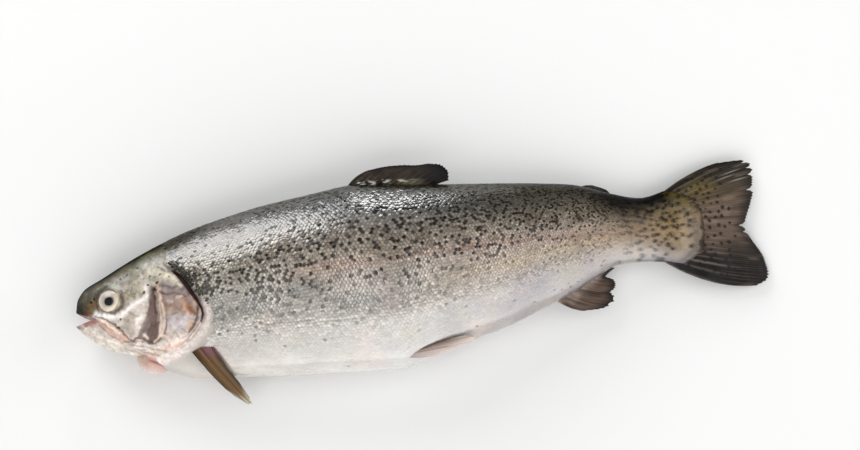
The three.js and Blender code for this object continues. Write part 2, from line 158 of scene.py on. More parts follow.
def tint(code):
    """A colour written as in a paint chart, as linear red, green and blue."""
    c = np.array([int(code[k:k + 2], 16) for k in (0, 2, 4)]) / 255
    return np.where(c <= 0.04045, c / 12.92, ((c + 0.055) / 1.055) ** 2.4)


def layered(colour, *layers):
    """A colour with layers over it in turn, each a colour code and a mask from 0 to 1."""
    for code, mask in layers:
        colour = colour + (tint(code) - colour) * np.clip(mask, 0, 1)[..., None]
    return colour


def ramp(stops, value):
    """Colours along a scale, given as colour codes by their places on it."""
    tints = np.array([tint(code) for code in stops.values()])
    return np.stack([np.interp(value, list(stops), tints[:, k]) for k in range(3)], -1)


# ---- The body's form ----

BACK = curve([
    (0, 2.2), (1.4, 5.6), (4.7, 9.7), (8.1, 11.8), (14.7, 14.6), (24.6, 19.4), (34.4, 23.9),
    (47.5, 29.1), (62.7, 34), (80, 37.8), (100, 41.4), (121, 43.8), (135, 45.4), (147, 46.6),
    (165, 45), (197, 41.8), (226, 39.3), (247, 37.1), (265, 34.2), (282, 28.1), (298, 24),
    (311, 26.4), (326, 30)])
BELLY = curve([
    (0, -9.8), (1.6, -11.3), (3.6, -13.6), (7, -16.7), (10.6, -19.8), (16, -23), (25.4, -26.3),
    (34, -30.4), (44, -36.6), (52, -40.8), (60, -42.7), (80, -44.8), (111, -47.8), (132, -49),
    (155, -50.4), (167, -50.6), (174, -48), (184, -45.2), (200, -40.6), (216, -36.6),
    (227, -33.2), (238, -28.8), (247, -25.6), (260, -20.2), (271, -14.4), (279.5, -10.4),
    (293, -9.6), (306, -11.1), (326, -15)])
HALF_WIDTH = curve([
    (0, 3.4), (3, 6.6), (10, 10.4), (20, 13.6), (40, 17.8), (62, 21), (85, 23.6), (115, 25.4),
    (150, 26), (180, 25), (210, 21.8), (240, 17), (265, 12.6), (285, 9.2), (302, 6.4),
    (312, 4.6), (320, 3.3), (326, 2.3)])
MID_HEIGHT = curve([
    (0, 15.5), (20, 17), (60, 18.6), (100, 21.6), (150, 22.6), (200, 19.8), (240, 16.2),
    (280, 13.2), (312, 10.6), (326, 9.5)])
FLOOR_BLEND = 2  # over this height the body rounds off to its flat on the floor

# The head's landmarks in the side view.
EYE = {"x": 19.2, "y": 1.1, "radius": 6.2, "half": 4.2, "sunk": 1.7}
NOSTRILS = [(9.2, 1.7, 0.85), (11.0, 3.2, 0.7)]
JAW_GROOVE = [(10.8, -5.6), (15.3, -7.6), (19.6, -10.7), (22.8, -13.7), (24.9, -16.6),
              (26.3, -19.3), (29, -20.7), (32, -19.8)]
MOUTH_LINE = [(11.7, -8), (12.8, -11.4), (16.5, -15), (20.3, -18.3), (23.6, -20.9)]
MOUTH_GAP = [(-5, 1.6), (0.2, -1.6), (2.8, -3.3), (5.6, -4.7), (8.6, -6), (10.4, -7),
             (8, -7.3), (5.4, -7.6), (2.4, -8), (-0.4, -8.1), (-5, -7.6)]
MAXILLA = [(11.2, -6), (15.2, -7.5), (19.6, -10.7), (22.8, -13.8), (25, -17), (26.4, -20.2),
           (24.2, -20.9), (20.3, -17.9), (16.5, -14.6), (13.2, -11.2), (12, -8.2)]
GILL_EDGE = [(49.4, 16.2), (53.2, 11.3), (56.1, 7.6), (58.8, 3.2), (61.6, -1.6), (64.2, -6),
             (66.2, -9.9), (66.6, -13.2), (65.2, -16.8), (62.5, -20), (58.9, -23.4),
             (54.9, -26.2), (49.8, -28.4), (44.3, -29.6), (39.6, -30.6)]
NAPE = [(45, 52), (47, 29), (49.4, 16.2)]
PREOPERCLE_HOLLOW = [(42.4, 5.4), (42.7, -1.6), (42.3, -8), (40.6, -13.6), (37.6, -18.4),
                     (34, -20.8)]
PREOPERCLE_BAND = [(40.2, 5.6), (39.8, 0), (39.6, -4.6), (38.2, -9.4), (35.4, -13), (33, -17),
                   (31.6, -19.6), (34, -21.4), (37.4, -23.4), (41.2, -22.8), (43.6, -19.6),
                   (44.7, -14), (45, -8), (44.8, -2), (44.6, 4.6)]
PREOPERCLE_RIDGE = [(45.6, 5), (45.9, -0.6), (47, -7.2), (47.1, -12.2), (45.9, -17.4), (43.8, -20.6),
                    (40.4, -23)]
COVER_SUTURE = [(46.4, -20.6), (51.6, -24), (57.6, -22.2), (61.2, -18.2), (63.4, -13.4)]
COVER_RAYS = [[(48.6, -13), (51.4, -19.6), (53.6, -23.6)], [(49, -12.6), (54.4, -17.8), (58, -21)],
              [(49.4, -12), (57.6, -15), (61.8, -15.2)], [(49.2, -11), (56.8, -10.2), (60, -10.6)],
              [(47.6, -13.4), (48, -16.4), (46.4, -20.4)]]
COVER_WAVES = [[(46.6, 4.8), (50, 3.4), (53, 2), (55.2, 3), (57.6, 1.2)],
               [(46, 1.2), (49.6, -0.7), (53.4, 0), (56, -1.5), (59.4, -3)],
               [(48.6, -6.2), (52.4, -7), (55.6, -8.6), (58, -6)]]
GILL_FOLDS = [[(27.6, -22.6), (33.6, -24.2), (39.6, -26.6), (45.6, -28.4)],
              [(30.6, -25.6), (36, -27.8), (41.6, -30)], [(27, -24.6), (31, -27), (34.6, -29.6)],
              [(25.4, -20.9), (31, -21.6), (36, -22.8)]]
JAW_EDGE = [(3.4, -12.2), (9.6, -16.2), (16, -20), (22.4, -23)]
LIP_CREASE = [(5.6, 4.6), (7.4, 0.6), (8.2, -3.6)]
CHEEK_LINES = [[(26.6, -9.4), (31.4, -11.2), (34.6, -10.4)], [(29.6, -3.2), (34, -6), (36.8, -11)],
               [(24.6, -12.4), (28.6, -15.6), (32.4, -15)]]
# Ridges and grooves of the head: height over the skin, width and the places that they pass.
HEAD_LINES = [(-0.9, 2.0, PREOPERCLE_HOLLOW), (0.45, 0.8, PREOPERCLE_RIDGE), (-0.4, 0.4, COVER_SUTURE),
              (-0.8, 0.42, JAW_GROOVE), (-1.3, 0.4, MOUTH_LINE), (-0.3, 0.7, JAW_EDGE),
              (-0.35, 0.5, LIP_CREASE), (0.3, 1.2, MOUTH_GAP[1:6]), (0.3, 1.0, MOUTH_GAP[6:10])]
for height, width, chains in ((-0.24, 0.4, COVER_RAYS), (-0.25, 0.55, COVER_WAVES),
                              (-0.5, 0.45, GILL_FOLDS), (-0.18, 0.5, CHEEK_LINES)):
    HEAD_LINES += [(height, width, chain) for chain in chains]


def head_relief(x, y):
    """Bone, folds and grooves of the head and shoulder, as a height over the smooth body."""
    gill = distance_to(NAPE + GILL_EDGE[1:], x, y)
    behind = gill_side(x, y)
    side = smooth(20, 9, y) * smooth(-33, -27, y)
    cover = smooth(42, 50, x) * side * (1 - behind)
    shoulder = bump(gill, 5.5) - 0.35 * bump(gill - 4.6, 2.2)
    from_eye = np.hypot(x - EYE["x"], y - EYE["y"])
    height = 0.9 * cover - shoulder * behind * side
    height += 0.55 * bump(from_eye - 6.9, 1.0) - 0.35 * bump(from_eye - 9.4, 1.1)
    height += 0.8 * bump(np.hypot(x - 31, (y + 7.5) * 0.8), 7)
    height += 0.5 * smooth(-0.5, 0.5, depth_in(MAXILLA, x, y))
    height -= 0.45 * stroke(PREOPERCLE_RIDGE, x - 1.3, y, 0.45)
    for rise, width, chain in HEAD_LINES:
        height += rise * stroke(chain, x, y, width)
    for fold in GILL_FOLDS:
        height += 0.25 * stroke(fold, x - 0.6, y + 1.1, 0.8)
    for nx, ny, r in NOSTRILS:
        height += 0.3 * bump(np.hypot(x - nx, y - ny) - r, 0.4)
    return height


def gill_side(x, y):
    """1 behind the gill opening and the nape, 0 in front, with a quick step between."""
    line = sorted(((py, px) for px, py in NAPE[:-1] + GILL_EDGE), key=lambda p: p[0])
    ys, xs = zip(*line)
    return smooth(-0.25, 0.25, x - np.interp(y, ys, xs))


# The flesh's rear edge on the tail, as (y, x).
FLESHY_BORDER = [(-14.4, 306), (-12.7, 316.6), (-9.4, 323), (-5.9, 327), (0, 328.4), (6.2, 328.8),
                 (12.4, 328.4), (16.5, 327.4), (21.1, 323.6), (26.3, 314), (31, 304)]
SUNK = 0.8  # how far before that edge the flesh sinks into the fin
TAIL_START = 300  # from here the rings of the tail stalk are drawn to that edge
BODY_END = 326  # where the body's curves end
BORDER_ROUNDS = 12  # each round brings the rings nearer to the edge


def before_border(x, y):
    """How far points lie before the flesh's rear edge on the tail."""
    return np.interp(y, *zip(*FLESHY_BORDER)) - x


def to_border(x, turn):
    """Places on the tail stalk, drawn forward so that its last ring is the flesh's rear edge."""
    place = x + 0 * turn
    for _ in range(BORDER_ROUNDS):
        end = before_border(0, skin(place, turn)[..., 1])
        aim = TAIL_START + (x - TAIL_START) / (BODY_END - TAIL_START) * (end - TAIL_START)
        place = np.where(x > TAIL_START, mix(place, aim, 0.6), x)
    return place


def trunk_relief(x, y):
    """The tail stalk thins out to its rear edge, where it sinks into the fin."""
    thin = smooth(-0.5, 14, before_border(x, y))
    return np.where(x > 295, (thin - 1) * (HALF_WIDTH(x) - 0.3), 0)


def no_relief(x, y):
    return np.zeros(np.shape(x))


def on_floor(z):
    """The lowest part of the lying body is pressed flat at floor level."""
    eased = (z + FLOOR_BLEND) ** 2 / (4 * FLOOR_BLEND)
    return np.where(z >= FLOOR_BLEND, z, np.where(z <= -FLOOR_BLEND, 0, eased))


def skin(x, turn, relief=no_relief):
    """Points of the skin at distances x from the snout and turns round the body."""
    x, turn = np.broadcast_arrays(np.asarray(x, float), turn)
    c, s = np.cos(turn * 2 * math.pi), np.sin(turn * 2 * math.pi)
    back, belly = BACK(x), BELLY(x)
    y = (back + belly) / 2 + (back - belly) / 2 * c
    fullness = np.where(c > 0, 0.98, mix(0.98, 0.9, smooth(0, 1, -c)))
    side = np.sign(s) * np.abs(s) ** fullness
    half = HALF_WIDTH(x) + relief(x, y) * np.abs(s)
    return np.stack([x, y, on_floor(MID_HEIGHT(x) + half * side)], -1)


def skin_normal(x, turn, relief=no_relief):
    ahead = skin(x + 0.3, turn, relief) - skin(x - 0.3, turn, relief)
    around = skin(x, turn + 0.002, relief) - skin(x, turn - 0.002, relief)
    normal = np.cross(around, ahead)
    return normal / np.linalg.norm(normal, axis=-1, keepdims=True)


def lifted(x, turn, lift, relief=no_relief):
    """Points of the skin moved out by a lift."""
    return skin(x, turn, relief) + skin_normal(x, turn, relief) * np.asarray(lift)[..., None]


def flank_turn(x, y, side=1):
    """The turn at which the upper (side 1) or lower (side -1) flank passes a place."""
    back, belly = BACK(x), BELLY(x)
    c = np.clip((y - (back + belly) / 2) / ((back - belly) / 2), -0.999, 0.999)
    turn = np.arccos(c) / (2 * math.pi)
    return turn if side > 0 else 1 - turn


def on_flank(x, y, side=1, lift=0.0, relief=no_relief):
    x, y = np.asarray(x, float), np.asarray(y, float)
    return lifted(x, flank_turn(x, y, side), np.zeros(x.shape) + lift, relief)


# ---- Making meshes ----

def metres(points):
    return (np.asarray(points, float) + (SNOUT_X, CHORD_Y, 0)) * MM


def fish_view(points):
    return np.asarray(points, float) / MM - (SNOUT_X, CHORD_Y, 0)


def grid_faces(rows, columns, closed=False):
    """Quads of a grid whose points are stored row after row."""
    r = np.arange(rows - 1)[:, None]
    c = np.arange(columns if closed else columns - 1)[None, :]
    nxt = (c + 1) % columns
    corners = (r * columns + c, r * columns + nxt, (r + 1) * columns + nxt, (r + 1) * columns + c)
    return np.stack([np.broadcast_to(k, np.broadcast_shapes(r.shape, c.shape)) for k in corners],
                    -1).reshape(-1, 4)


def mesh_piece(name, points, faces, material=None, colours=None, gloss=1.0):
    """A mesh object from points in the fish's view and lists of faces."""
    mesh = bpy.data.meshes.new(name)
    mesh.from_pydata(metres(points).reshape(-1, 3).tolist(), [], faces)
    mesh.polygons.foreach_set("use_smooth", [True] * len(mesh.polygons))
    piece = bpy.data.objects.new(name, mesh)
    bpy.context.scene.collection.objects.link(piece)
    if material:
        mesh.materials.append(material)
    if colours is not None:
        paint(mesh, colours, gloss)
    return piece


def paint(mesh, colours, gloss=1.0):
    """Paints the points of a mesh; the fourth channel holds how glossy each is."""
    colours = np.clip(np.asarray(colours, float).reshape(-1, 3), 0.001, 1)
    layer = mesh.color_attributes.new("Col", "FLOAT_COLOR", "POINT")
    layer.data.foreach_set("color", np.column_stack([colours, gloss + 0 * colours[:, 0]]).ravel())


def points_of(mesh):
    co = np.zeros(len(mesh.vertices) * 3)
    mesh.vertices.foreach_get("co", co)
    return fish_view(co.reshape(-1, 3))


def loft(name, rings, **finish):
    """A closed body from rings of points, both ends drawn to their middle."""
    rings = np.asarray(rings)
    rows, columns = rings.shape[:2]
    points = np.vstack([rings.reshape(-1, 3), rings[0].mean(0)[None], rings[-1].mean(0)[None]])
    faces = grid_faces(rows, columns, closed=True).tolist()
    first, last = rows * columns, rows * columns + 1
    for j in range(columns):
        k = (j + 1) % columns
        faces.append((first, k, j))
        faces.append((last, (rows - 1) * columns + j, (rows - 1) * columns + k))
    return mesh_piece(name, points, faces, **finish)


def sheet(name, upper, lower, **finish):
    """A closed thin body between two grids of points that lie over each other."""
    rows, columns = upper.shape[:2]
    count = rows * columns
    faces = grid_faces(rows, columns).tolist()
    faces += [tuple(count + k for k in reversed(face)) for face in grid_faces(rows, columns).tolist()]
    edge = ([(0, c) for c in range(columns)] + [(r, columns - 1) for r in range(1, rows)]
            + [(rows - 1, c) for c in range(columns - 2, -1, -1)]
            + [(r, 0) for r in range(rows - 2, 0, -1)])
    edge = [r * columns + c for r, c in edge]
    for a, b in zip(edge, edge[1:] + edge[:1]):
        faces.append((b, a, count + a, count + b))
    points = np.vstack([upper.reshape(-1, 3), lower.reshape(-1, 3)])
    return mesh_piece(name, points, faces, **finish)


def ball(name, centre, radii, facing=(0, 0, 1), rows=24, columns=36, **finish):
    """A closed ball with radii across, across and along the way it faces."""
    polar = np.linspace(0, math.pi, rows + 2)[1:-1, None]
    round_ = np.linspace(0, 2 * math.pi, columns, endpoint=False)[None, :]
    local = np.stack([radii[0] * np.sin(polar) * np.cos(round_),
                      radii[1] * np.sin(polar) * np.sin(round_),
                      radii[2] * np.cos(polar) + 0 * round_], -1)
    turn = np.array(Vector((0, 0, 1)).rotation_difference(Vector(facing)).to_matrix())
    return loft(name, local @ turn.T + centre, **finish)


def outwards(piece):
    """Faces of a closed mesh turned to point out."""
    work = bmesh.new()
    work.from_mesh(piece.data)
    bmesh.ops.recalc_face_normals(work, faces=work.faces)
    work.to_mesh(piece.data)
    work.free()
    return piece


def apply_modifiers(piece):
    graph = bpy.context.evaluated_depsgraph_get()
    made = bpy.data.meshes.new_from_object(piece.evaluated_get(graph))
    piece.modifiers.clear()
    old = piece.data
    piece.data = made
    bpy.data.meshes.remove(old)
    return piece


def cut(piece, cutters):
    """Cuts closed bodies out of a piece and removes them."""
    for cutter in cutters:
        step = piece.modifiers.new("cut", "BOOLEAN")
        step.operation = "DIFFERENCE"
        step.solver = "MANIFOLD"
        step.object = cutter
    apply_modifiers(piece)
    for cutter in cutters:
        bpy.data.meshes.remove(cutter.data)
    return piece


# ---- Materials ----

class Shader:
    """A short way to write a node material that takes its colour from the painted points."""

    def __init__(self, name):
        self.material = bpy.data.materials.new(name)
        self.material.use_nodes = True
        self.tree = self.material.node_tree
        self.place = self.node("ShaderNodeTexCoord").outputs["Object"]
        self.paint = self.node("ShaderNodeAttribute", attribute_name="Col").outputs

    def node(self, kind, inputs=None, **settings):
        made = self.tree.nodes.new(kind)
        for key, value in settings.items():
            setattr(made, key, value)
        self.feed(made, inputs or {})
        return made

    def feed(self, node, inputs):
        """Sets inputs of a node to plain values or links them to outputs of others."""
        for key, value in inputs.items():
            if isinstance(value, bpy.types.NodeSocket):
                self.tree.links.new(value, node.inputs[key])
            else:
                node.inputs[key].default_value = value

    def noise(self, size, detail=3.0):
        return self.node("ShaderNodeTexNoise", {
            "Vector": self.place, "Scale": 1 / (size * MM), "Detail": detail,
            "Roughness": 0.6}).outputs["Fac"]

    def span(self, source, low, high, start=0.3, end=0.7):
        return self.node("ShaderNodeMapRange", {
            "Value": source, "From Min": start, "From Max": end, "To Min": low,
            "To Max": high}).outputs["Result"]

    def painted(self, fleck, size):
        """The painted colour, varied in brightness by fine flecks."""
        light = self.span(self.noise(size, 4), 1 - fleck, 1 + fleck)
        return self.node("ShaderNodeMix", {"Factor": 1.0, "A": self.paint["Color"], "B": light},
                         data_type="RGBA", blend_type="MULTIPLY").outputs["Result"]

    def bumps(self, layers):
        """Bumps stacked one on another, each with a size and a depth in millimetres."""
        below = {}
        for size, depth in layers:
            made = self.node("ShaderNodeBump", {
                "Strength": 1.0, "Distance": depth * MM, "Height": self.noise(size), **below})
            below = {"Normal": made.outputs["Normal"]}
        return below


def wet_material(name, roughness, coat, fleck, fleck_size, bumps, metallic=0.0, soft=0.0, ior=1.45):
    """Wet skin: the painted colour under a clear film of water."""
    shader = Shader(name)
    gloss = shader.paint["Alpha"]
    shader.feed(shader.tree.nodes["Principled BSDF"], {
        "Base Color": shader.painted(fleck, fleck_size), "Metallic": metallic, "IOR": ior,
        "Roughness": shader.span(shader.noise(2.5), roughness * 0.75, roughness * 1.3),
        "Specular IOR Level": shader.span(gloss, 0, 0.5, 0, 1),
        "Coat Weight": shader.span(gloss, 0, coat, 0, 1), "Coat Roughness": 0.1, "Coat IOR": 1.4,
        "Subsurface Weight": soft, "Subsurface Scale": 0.002, "Subsurface Radius": (1.0, 0.45, 0.3),
        **shader.bumps(bumps)})
    return shader.material


SKIN = wet_material("wet_skin", 0.4, 0.5, 0.1, 0.5, [(2.4, 0.1), (0.6, 0.03)], soft=0.12)
SILVER = wet_material("silver_scale", 0.17, 0.8, 0.12, 0.6, [(1.4, 0.02)], metallic=0.1, ior=1.8)
FIN = wet_material("fin_membrane", 0.36, 0.3, 0.16, 0.5, [(0.9, 0.05), (0.3, 0.012)])
FLESH = wet_material("pink_flesh", 0.3, 0.6, 0.12, 0.8, [(1.8, 0.12), (0.5, 0.03)], soft=0.3)
EYE_GLOSS = wet_material("eye_gloss", 0.25, 1.0, 0.05, 0.4, [(0.8, 0.008)], soft=0.1)


# ---- Colours of skin and scales ----

def flank_depth(x, y):
    """Share of the way round the flank, 0 at the back's ridge to 1 at the belly's."""
    return 2 * flank_turn(x, y)


def stations(x, places, values):
    """Values blended along the body between the stations where they hold."""
    total = values[0]
    for start, end, value in zip(places[:-1], places[1:], values[1:]):
        t = smooth(start, end, x)
        total = mix(total, value, t[:, None] if np.ndim(value) > 1 else t)
    return total


# Tones from the back's ridge to the belly's at stations along the body; at the rear ones the belly's ridge
# darkens as painted shade.
STATION_X = [80, 145, 235, 300]
FLANKS = [
    {0: "26221a", 0.12: "3f3a30", 0.2: "3a352c", 0.3: "6f695f", 0.4: "8c8477", 0.47: "a0988b",
     0.55: "98938b", 0.64: "b0aaa1", 0.74: "9e9891", 0.9: "c0bab4", 1: "bab4ae"},
    {0: "1e1c12", 0.1: "2c291d", 0.18: "434341", 0.26: "6c6d6b", 0.33: "807a73", 0.4: "807669",
     0.46: "8b8073", 0.52: "998e84", 0.6: "a69f98", 0.7: "b3aea8", 0.8: "b1aeaa", 0.9: "cac7c4"},
    {0: "0a0906", 0.1: "14120a", 0.17: "383322", 0.23: "3b3628", 0.29: "464239", 0.36: "70685c",
     0.43: "8c8174", 0.5: "95877b", 0.58: "a5957f", 0.64: "9f958d", 0.72: "8c8688", 0.82: "969090",
     0.9: "8c8583", 1: "7c7270"},
    {0: "0b0a08", 0.12: "0e0c09", 0.2: "1e1c18", 0.27: "4b4538", 0.34: "75674f", 0.42: "7d6a4f",
     0.5: "8d7758", 0.58: "947e61", 0.68: "8f7f6a", 0.78: "948a82", 0.88: "7e797a", 1: "302e2e"}]
# How thick the black spots stand at each station, by the share of the way round the flank.
SPOT_SHARES = [0, 0.19, 0.24, 0.36, 0.4, 0.48, 0.54, 0.64, 0.7]
SPOT_WANT = [[0.8, 0.15, 0.0, 0.2, 1.0, 0.9, 0.5, 0.35, 0],
             [0.9, 0.7, 0.6, 1.1, 1.0, 0.4, 0.22, 0.12, 0.02],
             [0.7, 0.8, 1.1, 1.0, 0.9, 0.4, 0.22, 0.08, 0.01],
             [0.8, 0.8, 0.9, 1.0, 1.0, 0.9, 0.8, 0.5, 0.2]]
# The lateral line's places along the body and its heights there.
LINE_X = [69, 207, 234, 273, 300, 326]
LINE_Y = [-1.2, 4.1, 5.7, 5.2, 4.8, 5.5]
SPOT_TRIES = 9000


def crown_wedge(x):
    """The share of the flank that the dark crown covers behind the head."""
    return mix(0.16, -0.08, smooth(50, 96, x))


def spot_want(x, share):
    """How thick black spots stand, with a clump of them behind the gill cover."""
    clump = soft_patch(x, share, (98, 0.5), (13, 0.1))
    return clump + stations(x, STATION_X, [np.interp(share, SPOT_SHARES, want) for want in SPOT_WANT])


def scatter_spots(seed):
    """Seeded black spots, as (x, y) and radius: dense on the back, few on the lower flank."""
    draw = np.random.default_rng(seed)
    x, y = draw.uniform(50, 322, SPOT_TRIES), draw.uniform(-50, 48, SPOT_TRIES)
    share = flank_depth(x, y)
    inside = (y > BELLY(x)) & (y < BACK(x)) & (draw.random(SPOT_TRIES) < spot_want(x, share))
    size = draw.uniform(0.55, 1.0, SPOT_TRIES)
    size *= mix(0.85, 1.5, smooth(270, 300, x)) * mix(0.75, 1, smooth(75, 105, x))
    size *= mix(1, 0.75, smooth(0.48, 0.56, share) * smooth(290, 270, x))
    kept, sizes = [], []
    for px, py, r in zip(x[inside], y[inside], size[inside]):
        room = (2.4 if px < 285 else 1.45) * r + 0.5
        if all((px - a) ** 2 + (py - b) ** 2 > room ** 2 for a, b in kept):
            kept.append((px, py))
            sizes.append(r)
    return np.array(kept), np.array(sizes)


BATCH = 20000  # points looked at together, to spare memory


def spot_field(x, y, centres, radii):
    """How deep points lie in the nearest of many spots: 1 in its middle, 0 outside."""
    found = np.zeros(len(x))
    for start in range(0, len(x), BATCH):
        part = slice(start, start + BATCH)
        away = np.hypot(x[part, None] - centres[None, :, 0], y[part, None] - centres[None, :, 1])
        found[part] = np.max(smooth(1.15, 0.75, away / radii[None, :]), axis=1)
    return found


SPOTS = {1: scatter_spots(21), -1: scatter_spots(22)}


def body_paint(p, side, spots_from=0):
    """The painted colour of trunk and tail stalk at points of the fish's view.

    Its black spots start at a distance from the snout.
    """
    px, py = p[:, 0], p[:, 1]
    x = px + 2.5 * noise(p, 9, 3)
    y = py + 1.6 * noise(p, 11, 4) + 0.9 * noise(p, 3, 5)
    share = flank_depth(px, y)
    colour = stations(x, STATION_X, [ramp(flank, share) for flank in FLANKS])
    colour = colour * (1 + 0.14 * fractal(p, 14, 3, 8))[:, None]
    # A pink stripe along the middle of the flank, and a thin red-brown lateral line in it.
    off = py - np.interp(px, LINE_X, LINE_Y) + 0.4 * noise(p, 5, 9)
    stripe = bump(off - 0.5, 4.0) * (0.8 + 0.5 * noise(p, 18, 10))
    stripe *= smooth(95, 130, px) * smooth(310, 280, px)
    line = bump(off, 0.6) * smooth(130, 170, px) * smooth(310, 290, px)
    # The head's dark olive crown runs out in a wedge along the ridge.
    crown = smooth(0.04, -0.04, share - crown_wedge(px) + 0.03 * noise(p, 6, 21))
    # Olive and pink mottling low on the flank, brown above the lateral line, grey under it.
    low = smooth(0.55, 0.75, share)
    brown = smooth(0.3, 0.36, share) * smooth(0.5, 0.42, share)
    grey = smooth(0.48, 0.52, share) * smooth(0.68, 0.58, share) * smooth(230, 180, x)
    # The tail's root turns olive above and grey-violet below before the flesh's rear edge.
    before = before_border(px, py) - SUNK
    near = smooth(12, 2, before) * smooth(295, 305, x)
    before = before + 1.6 * noise(p, 5, 19) + 1.2 * noise(p, 1.7, 20)
    # The first layer is a black patch under the dorsal fin, the last one over the tail stalk.
    colour = layered(
        colour,
        ("161518", 0.5 * soft_patch(x, share, (179, 0.25), (24, 0.055))),
        ("9c7866", 0.4 * stripe),
        ("2b2817", 0.88 * crown),
        ("6b4133", 0.5 * line),
        ("b9b08a", 0.16 * low * flecks(p, 12, 12, 0.1, 0.6, 2)),
        ("cfaaa0", 0.16 * low * flecks(p, 15, 14, 0.15, 0.7, 2)),
        ("4a3620", 0.45 * brown * flecks(p, 6, 15, 0.0, 0.6, 1)),
        ("6f706c", 0.4 * grey * flecks(p, 8, 16, 0.0, 0.6, 1)),
        ("655828", 0.6 * near * smooth(13, 21, py) * smooth(0.05, 0.15, share)),
        ("5d5757", 0.8 * bump(before - 4, 4) * smooth(16, 6, py) * near),
        ("332b25", 0.95 * smooth(mix(0.9, 3.5, smooth(8, 18, py)), -0.6, before)),
        ("100f13", 0.78 * soft_patch(x, py, (286, 21), (17, 10))))
    ragged_x, ragged_y = px + 0.35 * noise(p, 1.1, 17), py + 0.35 * noise(p, 1.1, 18)
    spots = spot_field(ragged_x, ragged_y, *SPOTS[side]) * smooth(spots_from - 8, spots_from + 8, px)
    pale = smooth(0.46, 0.56, share) * smooth(285, 265, x)
    return layered(colour, ("0d0c0a", spots * mix(0.95, 0.55, pale)))


# Tones of the head by the share of the way round the flank, and of the gill cover by height.
HEAD_BASE = {0: "16140c", 0.08: "1b1a0f", 0.14: "302d1c", 0.185: "5a553d", 0.24: "857e6c",
             0.32: "a39b88", 0.42: "b3aa9a", 0.52: "cabfb4", 0.7: "d0c3b8", 0.85: "cfc7bd",
             1: "cfcac2"}
COVER_TONES = {-27: "d6c6b8", -21: "c4b4aa", -15: "b0a5a2", -9: "9c8878", -2: "8a7671",
               5: "a3958f", 9: "bcb09d"}
